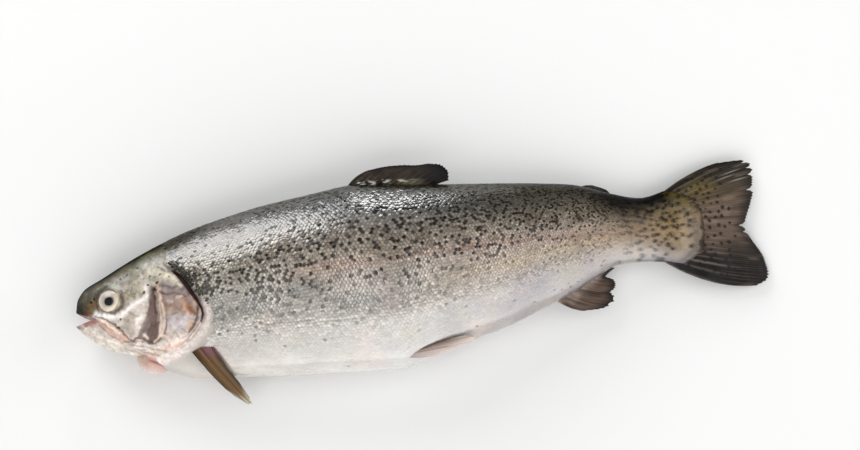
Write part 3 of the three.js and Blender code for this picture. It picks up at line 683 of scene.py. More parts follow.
# Strokes of paint on the head: colour, strength, width, then the places that they pass.
HEAD_STROKES = [
    # Crown and nape.
    ("5f5c3b", 0.65, 1.5, (30.8, 13.4), (33.8, 11.8)),
    ("5f5c3b", 0.6, 1.5, (35, 18.6), (41, 22.4)),
    ("5f5c3b", 0.5, 1.2, (24, 14.6), (28, 16.6)),
    ("a6a8a4", 0.45, 2.4, (37.4, 17.4), (43, 19.4), (49, 17.6)),
    ("cfc7b2", 0.6, 1.8, (41, 13), (46, 12.2)),
    ("423f30", 0.8, 0.45, (46, 14.4), (49.6, 12)),
    ("423f30", 0.7, 0.5, (41, 21.6), (42.6, 20.2)),
    ("8d8c92", 0.6, 1.6, (50, 15.6), (52.6, 18), (50, 24)),
    # Snout.
    ("0b0a07", 0.95, 2.1, (0.4, -4.4), (0, -2), (0.2, 1), (1.6, 5), (4.6, 9.2), (9, 12)),
    ("24211d", 0.9, 1.6, (1.6, 2.2), (3, -1.8), (4.8, -3.8)),
    ("24211d", 0.7, 1.0, (4.6, 8.2), (9.4, 11.4)),
    ("605c49", 0.75, 1.4, (6.9, 7.2), (5.4, 4)),
    ("74542d", 0.85, 1.5, (8.4, 0.4), (10.8, 1.4), (8.4, -2.4)),
    ("6f2f2b", 0.75, 0.8, (5.6, -4), (8, -5.4), (10.6, -7)),
    ("8a7350", 0.6, 1.1, (12.6, -1.8), (13.6, -4)),
    # Round the eye.
    ("a0a593", 0.8, 1.7, (20.6, 8.8), (24, 7)),
    ("241c14", 0.92, 1.5, (17.8, 8.5), (13.6, 6.9), (11.6, 3.6)),
    ("45351e", 0.9, 1.3, (25.9, 4.6), (26.9, 0), (25.4, -4), (21.6, -5.8), (16, -5)),
    ("39301f", 0.7, 0.6, (12.4, 1.4), (13.2, -2.8)),
    # The white band under the eye and the cheek.
    ("fdf6f0", 0.95, 1.4, (11.4, -4.9), (15.6, -6.6), (19.4, -7.6), (24.4, -7.8), (30, -4.6), (38, -0.6)),
    ("f1e7e0", 0.75, 1.7, (39, 0.6), (39.2, 5.6)),
    ("ddd0c7", 0.8, 2.6, (33.6, -5), (35, -10), (31.8, -14.6)),
    ("a4988d", 0.8, 2.2, (29.6, -17.4), (25.4, -14)),
    ("f6ede6", 0.8, 1.0, (31.6, -12.6), (35, -9.4)),
    ("88836a", 0.6, 0.8, (25.4, -9.8), (28.6, -11.6)),
    ("88836a", 0.55, 0.7, (29.6, -7), (33.4, -9.6)),
    ("9b9078", 0.55, 1.3, (28, 2.4), (33, 0.6)),
    ("a09783", 0.5, 1.5, (30, 7.6), (36, 5.4)),
    # Upper jaw, mouth and lower jaw.
    ("d3ab9b", 0.6, 1.6, (23.6, -17.6), (26, -19.2)),
    ("9c7869", 0.6, 0.4, (14, -9.6), (19.4, -14.4)),
    ("4a3a33", 0.78, 0.5, *JAW_GROOVE),
    ("8f7163", 0.7, 0.45, *MOUTH_LINE),
    ("e9ded4", 0.6, 1.8, (8, -13.6), (15.6, -18.8), (21, -22)),
    ("7f7b70", 0.75, 0.6, (-0.6, -8.8), (3.4, -10.2)),
    ("9a625e", 0.95, 1.3, (4.4, -8.2), (7.6, -8), (10.6, -8.6)),
    ("8d5a58", 0.8, 0.4, (6, -7.6), (10.8, -7.6)),
    ("bba596", 0.5, 0.6, *JAW_EDGE),
    ("6b4c40", 0.8, 0.5, (24.8, -20.4), (29.2, -20.9), (32, -20), (36.5, -22.8)),
    # Preopercle: streaks in its dark hollow, and the peach ridge behind it.
    ("463330", 0.85, 0.6, (42.8, 3.4), (43, -4), (42.6, -9)),
    ("6f5450", 0.7, 0.8, (41.4, -4), (41, -10), (38.4, -16)),
    ("b39a8b", 0.75, 0.45, (44, 1.4), (44.4, -7), (43.8, -13)),
    ("513d38", 0.7, 0.6, (40.4, -13), (37, -18.6)),
    ("e2d3c8", 0.8, 1.0, (35.6, -19.2), (36.8, -20.6)),
    ("382723", 0.92, 1.0, (37.4, -23.2), (40.6, -23.5), (43.2, -22.2)),
    ("dcbba3", 0.85, 0.6, *PREOPERCLE_RIDGE),
    ("655450", 0.75, 0.45, (47.7, -11), (47.9, -15.6), (46, -20.2)),
    # Gill cover; the first stroke, dark along the top of its edge, is painted shade in the slit.
    ("1c1614", 0.85, 1.2, (50, 15), (53.2, 11.3), (56.1, 7.6), (58.8, 3.2), (61.4, -1.2)),
    ("ab9d90", 0.5, 2.4, (28.4, -10), (29.8, -14.6)),
    ("5a4e4b", 0.8, 0.9, *COVER_WAVES[0]),
    ("554745", 0.85, 0.65, *COVER_WAVES[1]),
    ("86655b", 0.7, 1.0, *COVER_WAVES[2]),
    ("d2c9b3", 0.9, 1.4, (50.4, 9.4), (54.4, 6.4), (57.4, 3.6)),
    ("cbb7a8", 0.8, 0.9, (54.8, -3.2), (56.6, -2.6)),
    ("c4aea0", 0.75, 0.8, (50.4, -4.2), (52, -5)),
    ("7b6862", 0.7, 0.7, (47.6, -3), (48.4, -8)),
    ("c4babc", 0.85, 2.6, (51, -14), (53.4, -17.4), (57.4, -15.4)),
    ("80502c", 0.9, 1.5, (59.4, -7.6), (61.4, -10), (62.6, -12)),
    ("b9937a", 0.7, 1.4, (57.6, -5), (59, -11)),
    ("9a4f3a", 0.6, 0.6, (60.4, -9.2), (61.4, -10.2)),
    ("48352a", 0.9, 0.9, (64.6, -9.4), (64.2, -14), (62.2, -17.4), (59.4, -20.4)),
    ("d8b193", 0.8, 1.1, (61, -16), (58.6, -19.2)),
    ("ebdbcf", 0.9, 1.3, (45.6, -24.8), (50.6, -25), (56.4, -23.4)),
    ("dba999", 0.7, 0.7, (44, -27.6), (50, -27.2), (56, -24.8)),
    # Throat and breast.
    ("cfa79b", 0.7, 2.8, (30.6, -29.6), (36, -29.4), (42, -31)),
    ("6f6059", 0.8, 0.45, (32.2, -25.6), (36, -26)),
    ("efe6de", 0.6, 1.6, (30, -23.6), (36, -25))]


# Black dots on the head, as (x, y, radius).
HEAD_DOTS = [(37.6, 2.4, 0.9), (40.2, 5.9, 0.6), (43.8, 3.4, 1.0), (24, -9.3, 0.65), (22.9, -13.4, 0.7),
             (45, 6.8, 0.7), (29, 13.5, 0.7), (35, 16, 0.6), (41.5, 10.6, 0.6), (47, 10.4, 0.6),
             (26, 11.6, 0.5), (51.4, 8, 0.5), (9.2, 2.2, 0.7), (11, 3.6, 0.6)]


def head_paint(p):
    """The painted colour of head and shoulder at points of the fish's view."""
    px, py = p[:, 0], p[:, 1]
    x = px + 0.5 * noise(p, 3, 30) + 0.35 * noise(p, 1.1, 31)
    y = py + 0.5 * noise(p, 3, 32) + 0.35 * noise(p, 1.1, 33)
    behind = gill_side(px, py)
    gill = distance_to(GILL_EDGE, x, y)
    share = flank_depth(px, y) - 0.035 * smooth(46, 32, x)
    colour = ramp(HEAD_BASE, share) * (1 + 0.24 * fractal(p, 5, 3, 34))[:, None]
    # Olive, pale, lilac and dark flecks, the dark snout and eye ring, and the pink upper jaw.
    crown, edge = smooth(-2, 6, y), smooth(0.16, 0.25, share)
    dark = smooth(-12, 4, y) * smooth(22, 28, x)
    from_eye = np.hypot(x - EYE["x"], y - EYE["y"])
    colour = layered(
        colour,
        ("5d5a40", edge * mix(0.16, 0.5, crown) * flecks(p, 2.6, 36, 0.15, 0.55)),
        ("e6dfd2", edge * mix(0.15, 0.3, crown) * flecks(p, 2.2, 39, 0.2, 0.6)),
        ("9d979b", 0.5 * edge * crown * flecks(p, 3.4, 46, 0.1, 0.6)),
        ("403c2d", 0.55 * edge * dark * flecks(p, 1.5, 47, 0.3, 0.6)),
        ("9a8878", 0.35 * smooth(2, -6, y) * flecks(p, 2.0, 48, 0.2, 0.6)),
        ("3a3223", 0.94 * smooth(15, 8, x) * smooth(-6.5, -4, y)),
        ("4e3f29", 0.88 * bump(from_eye - 7.2, 1.5) * smooth(26, 17, x + 0.6 * y)),
        ("c9a896", 0.85 * smooth(-0.5, 0.5, depth_in(MAXILLA, x, y))),
        ("f0dccb", 0.8 * stroke([(14.6, -8.6), (19.6, -13), (23, -16.6)], x, y, 0.9)))
    # Gill cover: purple-brown above, pearly below.
    cover = smooth(45, 46.4, x) * (1 - behind) * smooth(-28.6, -27, y - 0.1 * (x - 45)) * smooth(12, 8.6, y)
    upper = ramp(COVER_TONES, y) * (1 + 0.2 * fractal(p, 3, 2, 42))[:, None]
    colour = mix(colour, upper, (0.94 * cover)[:, None])
    colour = layered(colour, ("58443f", 0.93 * smooth(-0.7, 0.7, depth_in(PREOPERCLE_BAND, x, y))))
    for ray in COVER_RAYS:
        colour = layered(colour, ("84736f", 0.6 * stroke(ray, x, y, 0.45)))
    for code, strength, width, *chain in HEAD_STROKES:
        colour = layered(colour, (code, strength * (1 - behind) * stroke(chain, x, y, width)))
    for fold in GILL_FOLDS:
        colour = layered(colour, ("8f7468", 0.65 * stroke(fold, x, y, 0.42)))
    # The smooth shoulder behind the cover. The dark line along the cover's edge and the black at the top of
    # the opening are painted shade in the gill slit.
    shoulder = behind * bump(gill - 3.4, 3.6) * smooth(-3, -8, y)
    top = behind * bump(gill, 3.6) * smooth(-9, -4, y) * smooth(17, 11, y)
    colour = layered(
        colour,
        ("6b4c3d", 0.8 * bump(gill, 0.5) * smooth(-30, -24, y)),
        ("dccfc8", 0.95 * shoulder),
        ("eddfd6", 0.7 * behind * bump(gill - 1.8, 0.9) * smooth(-15, -19, y)),
        ("0d0b0a", 0.95 * top))
    for dot_x, dot_y, r in HEAD_DOTS:
        colour = layered(colour, ("1a1511", 0.92 * smooth(1.3, 0.6, np.hypot(x - dot_x, y - dot_y) / r)))
    colour = colour * (1 + 0.24 * fractal(p, 1.4, 3, 44))[:, None]
    # Deep inside the gill opening a dark red-brown, painted shade in the recess; deep in the mouth, pink
    # flesh.
    middle = MID_HEIGHT(px)
    depth = on_flank(px, py, 1)[:, 2] - middle - np.abs(p[:, 2] - middle)
    opening = bump(gill, 4) * smooth(-31, -27, y) * smooth(15, 12, y)
    in_mouth = smooth(0.5, 1.6, depth) * smooth(16, 13, px) * bump(py + 6.5, 5)
    return layered(
        colour,
        ("240d0a", 0.95 * smooth(0.8, 1.8, depth + 0.5 * behind) * opening),
        ("9c5650", 0.9 * in_mouth))


# ---- Head: cut, rounded and painted ----

HEAD_END = 84
HEAD_STEP, HEAD_RING = 0.36, 400  # spacing of the head's rings and points in each
VOXEL = 0.34
STALK_START = 280  # from here the trunk's rings are closer
TRUNK_STEP, STALK_STEP, TRUNK_RING = 1.3, 0.8, 200


def head_rings():
    """Rings of the head from a rounded snout to a rear end that lies under the trunk's skin."""
    front = 1.8 * (1 - np.cos(np.linspace(0.12, math.pi / 2, 7))) - 0.9
    x = np.concatenate([front, np.arange(1.1, HEAD_END, HEAD_STEP)])
    turn = np.linspace(0, 1, HEAD_RING, endpoint=False)[None, :]
    rings = skin(np.maximum(x, 0)[:, None], turn, head_relief)
    rings[..., 0] = x[:, None]
    share = np.clip((x + 0.95) / 2.1, 0, 1)
    size = np.sqrt(1 - (1 - share) ** 2)[:, None, None]
    middle = rings.mean(1, keepdims=True)
    middle[..., 1] = MOUTH_GAP[-2][1]
    rings = middle + (rings - middle) * size
    dip = smooth(HEAD_END - 6, HEAD_END, x)[:, None, None]
    return rings - 0.7 * dip * skin_normal(np.maximum(x, 1)[:, None], turn)


# The section of a gill cavity: places across the edge, and its roof and floor there.
CAVITY_SECTION = [(-6, -1.3, -1.5), (-4, -1.15, -2.3), (-2, -1.1, -2.6), (-0.7, -1.0, -2.8),
                  (0, -0.95, -2.9), (0.02, 2.5, -2.9), (0.5, 2.5, -2.9), (1.0, 2.5, -2.6),
                  (1.8, 2.5, -1.2), (2.8, 2.5, 1.2)]


def gill_cavity(side):
    """The space under the gill cover's rear edge, wider at its upper end."""
    edge = np.array(GILL_EDGE[1:9], float)
    along = np.concatenate([[0], np.cumsum(np.hypot(*np.diff(edge, axis=0).T))])
    at = np.linspace(0, along[-1], 90)
    ex, ey = np.interp(at, along, edge[:, 0]), np.interp(at, along, edge[:, 1])
    tx, ty = np.gradient(ex, at), np.gradient(ey, at)
    size = np.hypot(tx, ty)
    nx, ny = -ty / size, tx / size
    share = at / along[-1]
    slit = np.interp(share, [0, 0.15, 0.35, 0.55, 0.75, 1], [0.35, 0.9, 1.1, 0.6, 0.3, 0.12])
    deep = np.interp(share, [0, 0.08, 0.7, 1], [0.6, 1, 0.8, 0.3])
    upper, lower = [], []
    for b, roof, ground in CAVITY_SECTION:
        reach = b * slit if b > 0 else b * deep
        px, py = ex + nx * reach, ey + ny * reach
        base = 0.9 * np.clip(1 - b, 0, 1)
        sunk = ground * mix(0.6, 1, deep) if ground < -1.5 else ground
        upper.append(on_flank(px, py, side, base + roof))
        lower.append(on_flank(px, py, side, base + sunk))
    return outwards(sheet("gill_cavity", np.array(upper), np.array(lower)))


def mouth_cut():
    outline = np.array(MOUTH_GAP)
    rings = [np.column_stack([outline, np.full(len(outline), z)]) for z in (-8, 45)]
    return outwards(loft("mouth_cut", rings))


def eye_facing(side):
    facing = np.array((-0.16, 0.1, side))
    return facing / np.linalg.norm(facing)


def eye_centre(side):
    return on_flank(EYE["x"], EYE["y"], side) - eye_facing(side) * EYE["sunk"]


def eye_socket(side):
    radii = (EYE["radius"] - 0.5, EYE["radius"] - 0.5, EYE["half"] + 1)
    return outwards(ball("socket", eye_centre(side), radii, eye_facing(side)))


def nostril_holes(side):
    return [outwards(ball("nostril", on_flank(x, y, side), (r, r * 0.75, 1.5), (-0.3, 0.2, side), 12, 16))
            for x, y, r in NOSTRILS]


def make_head():
    head = outwards(loft("head_form", head_rings()))
    cutters = [mouth_cut()]
    for side in (1, -1):
        cutters += [gill_cavity(side), eye_socket(side)] + nostril_holes(side)
    cut(head, cutters)
    remesh = head.modifiers.new("even", "REMESH")
    remesh.mode = "VOXEL"
    remesh.voxel_size = VOXEL * MM
    relax = head.modifiers.new("relax", "SMOOTH")
    relax.factor = 0.5
    relax.iterations = 3
    return apply_modifiers(head)


def make_skin():
    """One skin for head, trunk and tail stalk."""
    head = make_head()
    head_points = points_of(head.data)
    head_faces = [tuple(f.vertices) for f in head.data.polygons]
    x = np.concatenate([np.arange(HEAD_END - 5, STALK_START, TRUNK_STEP),
                        np.arange(STALK_START, BODY_END + 1, STALK_STEP)])
    turn = np.linspace(0, 1, TRUNK_RING, endpoint=False)
    rings = skin(to_border(x[:, None], turn[None, :]), turn[None, :], trunk_relief)
    trunk_faces = (grid_faces(len(x), len(turn), closed=True) + len(head_points)).tolist()
    trunk_points = rings.reshape(-1, 3)
    end = len(head_points) + len(trunk_points)
    tip = end - len(turn)
    trunk_faces += [(end, tip + j, tip + (j + 1) % len(turn)) for j in range(len(turn))]
    points = np.vstack([head_points, trunk_points, rings[-1].mean(0)[None]])
    px, py = points[:, 0], points[:, 1]
    left = points[:, 2] > MID_HEIGHT(px)
    colours = np.zeros((len(points), 3))
    for side, part in ((1, left), (-1, ~left)):
        colours[part] = body_paint(points[part], side)
    gill = distance_to(NAPE + GILL_EDGE[1:], px, py)
    near = 1 - gill_side(px, py) * smooth(2.5, 7, gill)
    colours = mix(colours, head_paint(points), near[:, None])
    # The back's ridge, the snout and the tail's root are dull.
    gloss = 0.75 * smooth(0.12, 0.26, flank_depth(px, py))
    gloss *= mix(0.08, 1, smooth(1, 9, px)) * mix(1, 0.25, smooth(300, 312, px))
    made = mesh_piece("skin", points, head_faces + trunk_faces, SKIN, colours, gloss)
    bpy.data.objects.remove(head)
    return made


# ---- Scales ----

ROWS = 84  # scales in each column round the body
COLUMN_RATIO = 0.36  # spacing of columns over the spacing of scales in a column
PATCH = 0.003  # a scale's patch in the bake map


def scale_columns():
    """Places along the body for columns of scales, closer where the body is thinner."""
    places = [44.0]
    while places[-1] < 322:
        x = places[-1]
        high, wide = (BACK(x) - BELLY(x)) / 2, HALF_WIDTH(x)
        girth = math.pi * (3 * (high + wide) - math.sqrt((3 * high + wide) * (high + 3 * wide)))
        places.append(x + max(COLUMN_RATIO * float(girth) / ROWS, 0.6))
    return np.array(places)


def scale_roots():
    """Roots (x, turn) of all scales in a half-offset lattice, with the pitch at each."""
    columns = scale_columns()
    pitch = np.append(np.diff(columns), 1.0)
    roots = []
    for k, (x, step) in enumerate(zip(columns, pitch)):
        turn = (np.arange(ROWS) + 0.5 * (k % 2)) / ROWS
        roots.append(np.column_stack([np.full(ROWS, x), turn, np.full(ROWS, step)]))
    roots = np.vstack(roots)
    draw = np.random.default_rng(5)
    roots[:, 0] += draw.normal(0, 0.07, len(roots)) * roots[:, 2]
    roots[:, 1] += draw.normal(0, 0.06, len(roots)) / ROWS
    # They start behind the gill cover and shoulder, in a ragged line at the nape.
    p = skin(roots[:, 0], roots[:, 1])
    px, py = p[:, 0], p[:, 1]
    gill = distance_to(NAPE + GILL_EDGE[1:], px, py)
    band = np.interp(py, [-45, -30, -22, -8, 0, 12, 30], [9, 7.5, 6.5, 3.4, 1.1, 0.8, 0.8])
    band += mix(0.6, 2.8, smooth(8, 15, py)) * noise(p, 4, 50)
    throat = (px < 62) & (py < -33)
    return roots[(gill_side(px, py) > 0.5) & (gill > band) & (before_border(px, py) > 1.4) & ~throat]


# Outline of one scale: share of its length, of the scales' spacing, and height over the skin;
# then how bright each point is, a painted highlight on the dome and painted shade at the rim
# over the dark pigment of the scale's pocket; and how black on a black scale.
SCALE = np.array([
    (0.0, -0.24, -0.12, 0.52, 0.6), (0.0, 0.24, -0.12, 0.52, 0.6), (0.42, 0.44, -0.04, 0.58, 0.6),
    (0.82, 0.31, 0.05, 0.66, 0.5), (1.0, 0.0, 0.1, 0.6, 0.4), (0.82, -0.31, 0.05, 0.66, 0.5),
    (0.42, -0.44, -0.04, 0.58, 0.6), (0.7, 0.0, 0.2, 1.32, 1.0)])
# The underside has a rim of its own, points 8 to 14, so that the top is shaded as one dome.
SCALE = np.vstack([SCALE, SCALE[:7]])
SCALE_SHAPE, SCALE_SHADE, SCALE_BLACK = SCALE[:, :3], SCALE[:, 3], SCALE[:, 4]
SCALE_FACES = [(k, (k + 1) % 7, 7) for k in range(7)] + [
    (9, 8, 14), (9, 14, 10), (10, 14, 13), (10, 13, 11), (11, 13, 12)]
LONG = 3.4  # a scale's length over the spacing of the columns


def coat_relief(x, y):
    """The scales follow the shoulder's relief near the head and the tail stalk's at the rear."""
    return head_relief(x, y) * smooth(80, 66, x) + trunk_relief(x, y)


def make_scales(name, roots, side, seed):
    """A coat piece of single scales, each with its own tilt, brightness and patch of the bake map."""
    draw = np.random.default_rng(seed)
    count, corners = len(roots), len(SCALE_SHAPE)
    x, turn, pitch = (roots[:, k, None] for k in range(3))
    along, across, height = (SCALE_SHAPE[None, :, k] for k in range(3))
    tilt = draw.normal(1.0, 0.22, (count, 1))
    roll = draw.normal(0, 0.2, (count, 1))
    root = skin(x[:, 0], turn[:, 0])
    px, py = root[:, 0], root[:, 1]
    share = flank_depth(px, py)
    rear = smooth(268, 300, px)
    calm = mix(1, 0.15, np.maximum(smooth(0.5, 0.85, share), 0.6 * rear))
    thin = np.clip(pitch, 0.6, 1) * calm[:, None]
    lift = (height * np.where(height > 0, tilt, 1) + across * roll) * thin
    points = lifted(x + along * pitch * LONG, turn + across / ROWS, lift, coat_relief).reshape(-1, 3)
    points[:, 2] = np.maximum(points[:, 2], 0)
    # Each scale has a brightness of its own, and some are black all over.
    colour = body_paint(root, side, 280) * mix(1, 0.92, bump(share - 0.47, 0.09))[:, None]
    slit = stroke([(54, 14), (58.6, 9), (62, 3.8), (65.3, -1.2)], px, py, 3)
    chance = 0.16 * spot_want(px, share) * (1 + 0.9 * noise(root, 5, 61)) + 0.9 * slit
    spots = smooth(0.4, 0.6, spot_field(px, py, *SPOTS[side]))
    black = np.maximum(spots, draw.random(count) < chance) * (1 - rear)
    black *= draw.uniform(0.85, 1, count) * mix(1, 0.6, smooth(0.48, 0.6, share))
    # Down the back to a third of the way round the brightness varies more, partly the scales' own tone and
    # partly painted glints.
    light = 1 + draw.normal(0, 0.27, count) * calm * mix(1.4, 1, smooth(0.3, 0.45, share))
    # The painted highlight on the scales' domes and painted shade at their rims are stronger where
    # the flank is dark, so the lines between scales are crisper there.
    hatch = calm * (1 + 0.35 * bump(share - 0.38, 0.14))
    shade = mix(1, np.tile(SCALE_SHADE, count), np.repeat(hatch, corners))
    own_tone = np.repeat(mix(0.75, 0.3, rear), corners)
    colours = mix(body_paint(points, side, 280), np.repeat(colour * light[:, None], corners, axis=0),
                  own_tone[:, None]) * shade[:, None]
    colours = layered(colours, ("0a0908", np.repeat(black, corners) * np.tile(SCALE_BLACK, count)))
    # Black scales, the tail's root and the back down to a share of the flank are dull.
    dull = mix(0.08, 0.17, smooth(215, 250, px)) + 0.08 * smooth(78, 52, px) + 0.13 * smooth(262, 280, px)
    least = mix(0.2, 0.05, np.maximum(smooth(85, 60, px), smooth(262, 282, px)))
    gloss = mix(least, 1, smooth(dull, dull + 0.12, share)) * (1 - 0.65 * black)
    gloss = np.repeat(gloss * mix(1, 0.12, smooth(296, 310, px)), corners)
    faces = corners * np.arange(count)[:, None, None] + np.array(SCALE_FACES)
    piece = mesh_piece(name, points, faces.reshape(-1, 3).tolist(), SILVER, colours, gloss)
    patch = np.stack([x / 340 + (along - 0.5) * PATCH, turn + across * PATCH], -1).reshape(-1, 2)
    corner = np.zeros(len(piece.data.loops), int)
    piece.data.loops.foreach_get("vertex_index", corner)
    piece.data.uv_layers.new(name="OFBake").data.foreach_set("uv", patch[corner].ravel())
    return piece


def make_all_scales():
    roots = scale_roots()
    pieces = []
    for side, label in ((1, "left"), (-1, "right")):
        own_side = roots[(roots[:, 1] % 1 < 0.5) == (side > 0)]
        for k, (low, high) in enumerate(((0, 165), (165, 400))):
            part = own_side[(own_side[:, 0] >= low) & (own_side[:, 0] < high)]
            pieces.append(make_scales(f"scales_{label}_{k + 1}", part, side, 60 + k + 10 * (side < 0)))
    return pieces


# ---- Fins ----

def path(points):
    """A path in space through points (u, x, y, z)."""
    parts = [curve([(p[0], p[k]) for p in points]) for k in (1, 2, 3)]
    return lambda u: np.stack([part(u) for part in parts], -1)


def back_at(x, deeper):
    return (x, float(BACK(x)) - deeper, float(MID_HEIGHT(x)))


def belly_at(x, deeper):
    return (x, float(BELLY(x)) + deeper, float(MID_HEIGHT(x)))


def in_flank(x, y, side, deep):
    return (x, y, float(on_flank(x, y, side)[2]) - side * deep)


RAY_COLUMNS = 10  # columns of points for each ray
FIN_ROWS = 56


def make_fin(name, root, tip, bow, rays, colour, seed, thick=1.4, edge=0.5, ridge=0.26, gloss=0.3,
             notch=0.03, ragged=0.05, fan=2, wave=0.3, tears=0, tear_to=None):
    """A fin as a closed sheet with raised rays that fork towards its edge.

    It spans from root to tip, both points (u, x, y, z), and bows out between them.
    """
    draw = np.random.default_rng(seed)
    root, tip = path(root), path(tip)
    u = np.linspace(0, 1, rays * RAY_COLUMNS + 1)[:, None]
    share = np.linspace(0, 1, FIN_ROWS)[None, :] ** 0.9
    ray = u * rays
    length = 1 - ragged * draw.random(rays + 1)
    forked = 0.5 + 0.5 * np.cos(2 * math.pi * ray[:, 0] * fan)
    reach = np.interp(ray[:, 0], np.arange(rays + 1), length) - notch * (1 - forked) ** 1.5
    for _ in range(tears):
        reach -= draw.uniform(0.03, 0.07) * bump(ray[:, 0] - draw.integers(1, tear_to or rays) - 0.5, 0.2)
    v = share * reach[:, None]
    u, share = np.broadcast_to(u, v.shape), np.broadcast_to(share, v.shape)
    ray = u * rays

    def surface(u, v):
        a, b, v = root(u), tip(u), v[..., None]
        return a * (1 - v) ** 2 + ((a + b) / 2 + bow(u)) * 2 * v * (1 - v) + b * v * v

    across = surface(np.clip(u + 0.01, 0, 1), v) - surface(np.clip(u - 0.01, 0, 1), v)
    along = surface(u, np.clip(v + 0.01, 0, 1)) - surface(u, np.clip(v - 0.01, 0, 1))
    normal = np.cross(along, across)
    normal /= np.linalg.norm(normal, axis=-1, keepdims=True)
    # One crest for each ray, parting into a fan of finer ones towards the edge.
    one, many = (np.maximum(np.cos(2 * math.pi * ray * k), 0) ** 2 for k in (1, fan))
    crest = mix(one, 0.7 * many, smooth(0.35, 0.75, v))
    crest *= 1 - 0.22 * smooth(0.6, 0.95, np.sin(v * 150 + 3 * np.sin(ray * 2.1)))
    crest *= smooth(1.02, 0.75, v)
    half = mix(thick, edge, np.sqrt(v)) / 2 + ridge * crest * (1 - 0.55 * v)
    half *= mix(1, 0.55, smooth(0.94, 1.0, share))
    p = surface(u, v)
    p = p + normal * (wave * noise(p, 7, seed) * smooth(0.1, 0.5, v))[..., None]
    upper, lower = p + normal * half[..., None], p - normal * half[..., None]
    if (upper - lower)[..., 2].mean() < 0:
        upper, lower = lower, upper
    upper[..., 2] = np.maximum(upper[..., 2], 0.3)
    lower[..., 2] = np.maximum(lower[..., 2], 0.05)
    colours = np.vstack([colour(u, v, share, p, crest).reshape(-1, 3)] * 2)
    return outwards(sheet(name, upper, lower, material=FIN, colours=colours, gloss=gloss))


def bowed(*ends):
    """How a fin bows out along its root: (x, y, z) at each end, or one for all of it."""
    return lambda u: mix(np.array(ends[0], float), np.array(ends[-1], float), u[..., None])


def bow_tail(u):
    edge = np.abs(1 - 2 * u) ** 6 * mix(1.6, -7, u)
    return np.stack([0 * u, mix(3, -3, u) + edge, 0 * u - 0.6], -1)


def streaks(u, v, seed, across=26, along=2.0, low=0.05, high=0.55):
    """A mask of streaks that run along the rays."""
    return smooth(low, high, noise(np.stack([u * across, v * along, 0 * u], -1), 1.0, seed))


def tail_colour(u, v, share, p, crest):
    x, y = p[..., 0], p[..., 1]
    colour = ramp({0: "191714", 0.08: "2b2620", 0.2: "473c2e", 0.45: "54453b",
                   0.7: "4b3e36", 0.86: "26221f", 1: "131318"}, u)
    colour = layered(
        colour,
        ("5c4f24", 0.75 * soft_patch(x, y, (331, 25), (10, 7)) * smooth(0, 0.1, u)),
        ("6a574c", 0.55 * soft_patch(x, y, (338, 8), (13, 11))),
        ("0d0d14", 0.93 * smooth(0.72, 0.9, u) * smooth(0.15, 0.45, v)),
        ("141110", 0.7 * smooth(0.55, 0.72, u) * smooth(0.35, 0.7, v)),
        ("1d1a18", 0.8 * smooth(0.8, 0.97, share)),
        ("15110e", 0.85 * smooth(0.35, 0.65, v) * smooth(0.3, 0.12, u)),
        ("8a7a6c", 0.24 * streaks(u, v, 70, along=5, low=0.2, high=0.7)),
        ("1c1613", 0.5 * streaks(u, v, 71, across=40)),
        ("8b7c6a", 0.25 * crest))
    # Three thin painted highlights, glints along rays in the upper lobe.
    for at, middle in ((0.12, 0.74), (0.15, 0.66), (0.2, 0.8)):
        colour = layered(colour, ("b4aca4", 0.5 * bump(u - at, 0.004) * bump(v - middle, 0.1)))
    ragged_x, ragged_y = x + 0.3 * noise(p, 1.0, 72), y + 0.3 * noise(p, 1.0, 73)
    spots = spot_field(ragged_x.ravel(), ragged_y.ravel(), *TAIL_SPOTS).reshape(x.shape)
    return layered(colour, ("15120e", 0.9 * spots))


def scatter_tail_spots():
    """Spots on the tail: clear in its upper root, thinning out to the edge and downwards."""
    draw = np.random.default_rng(31)
    kept, sizes = [], []
    for _ in range(1500):
        x, y = draw.uniform(306, 352), draw.uniform(-24, 37)
        want = smooth(346, 326, x) * mix(0.6, 1.0, smooth(-12, 14, y))
        if draw.random() > want:
            continue
        if kept and min((x - a) ** 2 + (y - b) ** 2 for a, b in kept) < 2.7 ** 2:
            continue
        kept.append((x, y))
        sizes.append(draw.uniform(0.7, 1.15))
    return np.array(kept), np.array(sizes)


TAIL_SPOTS = scatter_tail_spots()


def dark_fin_colour(base, edge, patch, root, foot=0):
    """Dark membrane with darker patches, the skin's tone at its root and glints along its foot."""
    def colour(u, v, share, p, crest):
        glints = flecks(p * (0.4, 1, 1), 1.1, 83, 0.05, 0.4, 2) * smooth(0.85, 0.55, u)
        band = bump(v - 0.22 - 0.12 * u + 0.06 * noise(p, 4, 82), mix(0.13, 0.05, smooth(0, 0.5, u)))
        return layered(
            ramp({0: base, 0.7: base, 1: edge}, share),
            (edge, 0.9 * smooth(0.5, 0.85, u) * smooth(0.1, 0.5, v)),
            (root, 0.9 * smooth(0.42, 0.05, v + 0.1 * noise(p, 3, 84))),
            (patch, 0.75 * flecks(p, 6, 80, 0.15, 0.6, 2) * smooth(0.3, 0.7, v)),
            ("85725f", 0.3 * crest * (1 - v)),
            ("120f0e", 0.5 * streaks(u, v, 81, across=30)),
            ("8c8266", 0.8 * foot * bump(u - 0.72, 0.16) * bump(v - 0.22, 0.1)),
            ("ece8df", foot * glints * band))
    return colour


def pectoral_colour(u, v, share, p, crest):
    colour = ramp({0: "1f1911", 0.1: "4a3a22", 0.35: "745430", 0.7: "6f573a",
                   0.9: "3c3127", 1: "26211c"}, u)
    return layered(
        colour,
        ("7a5560", 0.85 * smooth(0.26, 0.08, v) * smooth(0.2, 0.5, u)),
        ("b3ad98", 0.8 * smooth(0.8, 0.98, share)),
        ("1f180f", 0.6 * streaks(u, v, 90, across=18, low=0.0, high=0.5)),
        ("a5794a", 0.35 * crest * (1 - share)))


